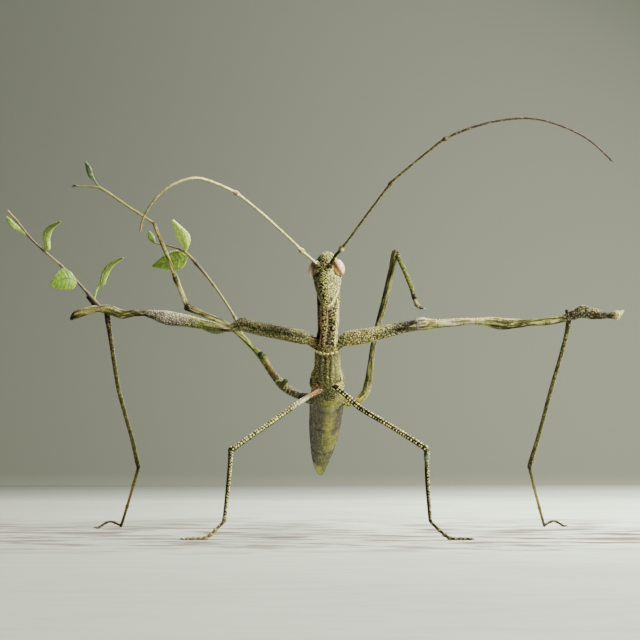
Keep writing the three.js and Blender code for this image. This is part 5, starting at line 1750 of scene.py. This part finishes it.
HIND_TWIG = Limb(
    "hind_twig",
    ((-21.6, 24.6, 49.8, 0.9), (-24.1, 30.0, 55.7, 0.7), (-29.4, 36.0, 63.9, 0.65), (-35.0, 42.0, 70.9, 0.9),
     (-38.4, 44.0, 74.3, 0.6), (-42.6, 45.0, 75.8, 0.55), (-46.2, 46.0, 76.6, 0.5)),
    ((0.0, Shade.BEIGE), (2.0, Shade.PALE), (3.0, Shade.BARK), (3.4, Shade.BEIGE), (6.0, Shade.PALE)),
    tuple(Feature(at, at + 0.02, None, 1, 0.14, Shade.BARK, 0.5, 0.35) for at in (1.0, 2.1, 3.0, 4.2)),
    BACK, 14, 0.26, 0.3,
)
ASLANT = (0.4, 0.8, 0.45)
BLADES = (
    Blade("arm_sprig_leaf_1", ((-75.2, 1.4, 75.1, 0.5), (-77.0, 1.2, 76.5, 0.8), (-78.5, 1.0, 77.5, 1.7),
                               (-79.6, 1.0, 78.6, 1.4), (-80.6, 1.0, 79.9, 0.5)),
          shade=Shade.SPRING, tip=Shade.LEAF, veins=5),
    Blade("arm_sprig_leaf_2", ((-71.0, 2.0, 71.3, 0.5), (-70.3, 1.4, 72.2, 1.9), (-70.5, 1.0, 74.7, 2.4),
                               (-69.4, 0.2, 76.9, 1.7), (-66.7, -1.0, 78.5, 0.5)), ASLANT,
          Shade.SPRING, Shade.SHADY),
    Blade("arm_sprig_leaf_3", ((-62.9, 2.8, 63.6, 0.5), (-64.0, 1.4, 63.9, 4.6), (-65.6, 0.9, 64.2, 5.6),
                               (-67.6, 0.5, 63.5, 4.0), (-69.4, 0.2, 62.6, 0.6)), veins=8),
    Blade("arm_sprig_leaf_4", ((-58.7, 2.9, 59.0, 0.5), (-57.5, 2.4, 62.4, 0.5), (-56.5, 2.0, 63.2, 1.5),
                               (-55.9, 1.6, 65.2, 2.0), (-54.2, 1.0, 67.7, 1.5), (-51.1, 0.2, 69.5, 0.5)),
          ASLANT, Shade.SPRING, Shade.SHADY),
    Blade("hind_sprig_leaf_1", ((-38.0, 43.9, 74.2, 0.5), (-37.9, 43.0, 75.9, 2.8), (-38.9, 42.0, 78.6, 4.2),
                                (-41.2, 40.2, 82.4, 0.6)), ASLANT, Shade.FRESH, Shade.FRESH),
    Blade("hind_sprig_leaf_2", ((-37.3, 43.4, 73.2, 0.6), (-39.4, 44.6, 72.2, 5.0), (-42.4, 46.0, 71.5, 5.4),
                                (-47.0, 48.0, 70.5, 0.6)), BACK, Shade.SPRING, Shade.LEAF, Shade.SPRING),
    Blade("hind_sprig_leaf_3", ((-46.4, 46.0, 76.7, 0.5), (-47.3, 46.0, 78.1, 1.9), (-47.9, 45.2, 79.8, 0.6)),
          BACK, Shade.SHADY, Shade.LEAF, veins=4),
    Blade("hind_sprig_leaf_4", ((-23.4, 28.4, 53.9, 0.5), (-27.2, 28.0, 52.4, 1.8), (-30.2, 28.4, 52.5, 2.4),
                                (-33.9, 29.0, 53.6, 0.6)), ASLANT, Shade.SHADY, Shade.SHADY, Shade.SHADY),
    Blade("foot_leaf", ((-58.6, 14.2, 88.6, 0.5), (-59.6, 14.2, 90.2, 0.5), (-60.6, 14.2, 91.6, 1.4),
                        (-61.1, 14.0, 93.2, 1.6), (-62.0, 14.0, 95.2, 0.5)), BACK, Shade.DEEP, Shade.DEEP,
          Shade.SHADY, 5),
)


# ------------------------------------------------------------------ the studio


@dataclass
class Studio:
    """The pale floor, the wall behind it, the soft lights and the camera."""

    shop: Workshop
    lens: float = 135.0
    sensor: float = 36.0
    eye: tuple[float, float, float] = (-1.75, -600.0, 27.6)
    pitch: float = 2.505
    floor_reach: float = 504.0
    wall_gap: float = 1150.0

    def sheet(self, name: str, width: float, depth: float, turn: Matrix, finish: Finish) -> None:
        """Adds a flat sheet as part of the stage."""
        work = bmesh.new()
        bmesh.ops.create_grid(work, x_segments=12, y_segments=12, size=0.5)
        bmesh.ops.transform(work, matrix=turn @ Matrix.Diagonal((width, depth, 1.0, 1.0)), verts=work.verts)
        self.shop.add(name, work, finish)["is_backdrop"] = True

    def lamp(self, name: str, place: tuple[float, float, float], size: float, power: float,
             aim: tuple[float, float, float] = (0.0, 15.0, 45.0)) -> None:
        """Adds a square soft light that nothing but its light shows of."""
        data = bpy.data.lights.new(name, "AREA")
        data.shape, data.size, data.energy, data.color = "SQUARE", size * MM, power, (1.0, 1.0, 0.92)
        lamp = bpy.data.objects.new(name, data)
        lamp.location = self.shop.place(*place)
        lamp.visible_camera = False
        lamp.rotation_euler = (self.shop.place(*aim) - lamp.location).to_track_quat("-Z", "Y").to_euler()
        bpy.context.scene.collection.objects.link(lamp)

    def build(self) -> None:
        """Builds the stage, the lights and the camera."""
        front = -900.0
        middle = Matrix.Translation((0, (self.floor_reach + front) / 2, -0.02))
        self.sheet("floor", 2600, self.floor_reach - front, middle, GroundFinish())
        wall = Matrix.Translation((0, self.wall_gap, 600)) @ Matrix.Rotation(np.pi / 2, 4, "X")
        self.sheet("wall", 4200, 1700, wall, WallFinish())
        self.lamp("key", (620, -330, 420), 200, 24.0)
        self.lamp("fill", (-500, -600, 260), 500, 0.8)
        self.lamp("top", (200, 160, 620), 400, 4.0)
        self.lamp("wall light", (400, 700, 700), 500, 19.0)
        world = bpy.data.worlds.new("soft room")
        world.use_nodes = True
        world.node_tree.nodes["Background"].inputs["Color"].default_value = (0.42, 0.44, 0.4, 1.0)
        world.node_tree.nodes["Background"].inputs["Strength"].default_value = 0.3
        bpy.context.scene.world = world
        data = bpy.data.cameras.new("camera")
        data.lens, data.sensor_width, data.clip_start, data.clip_end = self.lens, self.sensor, 0.01, 20.0
        camera = bpy.data.objects.new("camera", data)
        camera.location = self.shop.place(*self.eye)
        camera.rotation_euler = (np.radians(90 + self.pitch), 0.0, 0.0)
        bpy.context.scene.collection.objects.link(camera)
        bpy.context.scene.camera = camera


def main() -> None:
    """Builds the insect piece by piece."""
    logging.basicConfig(level=logging.INFO, format="%(name)s %(message)s")
    shop = Workshop()
    Studio(shop).build()
    flesh = Flesh(shop)
    skin = flesh.build()
    Granules(shop, flesh, skin).build()
    for eye in EYES:
        eye.build(shop)
    for limb in (RIGHT_FEELER, LEFT_FEELER):
        Tube(limb, "feeler", tuple(f"{limb.name}_{part}" for part in ("base", "middle", "tip"))).build(shop)
    for palp in PALPS:
        Tube(palp, "shell", ()).build(shop)
    for claws in CLAWS:
        claws.build(shop)
    Tube(ARM_TWIG, "twig", ("arm_sprig_twig",), BarkFinish()).build(shop)
    Tube(HIND_TWIG, "twig", ("hind_sprig_twig",), BarkFinish()).build(shop)
    for blade in BLADES:
        blade.build(shop)


if __name__ == "__main__":
    main()
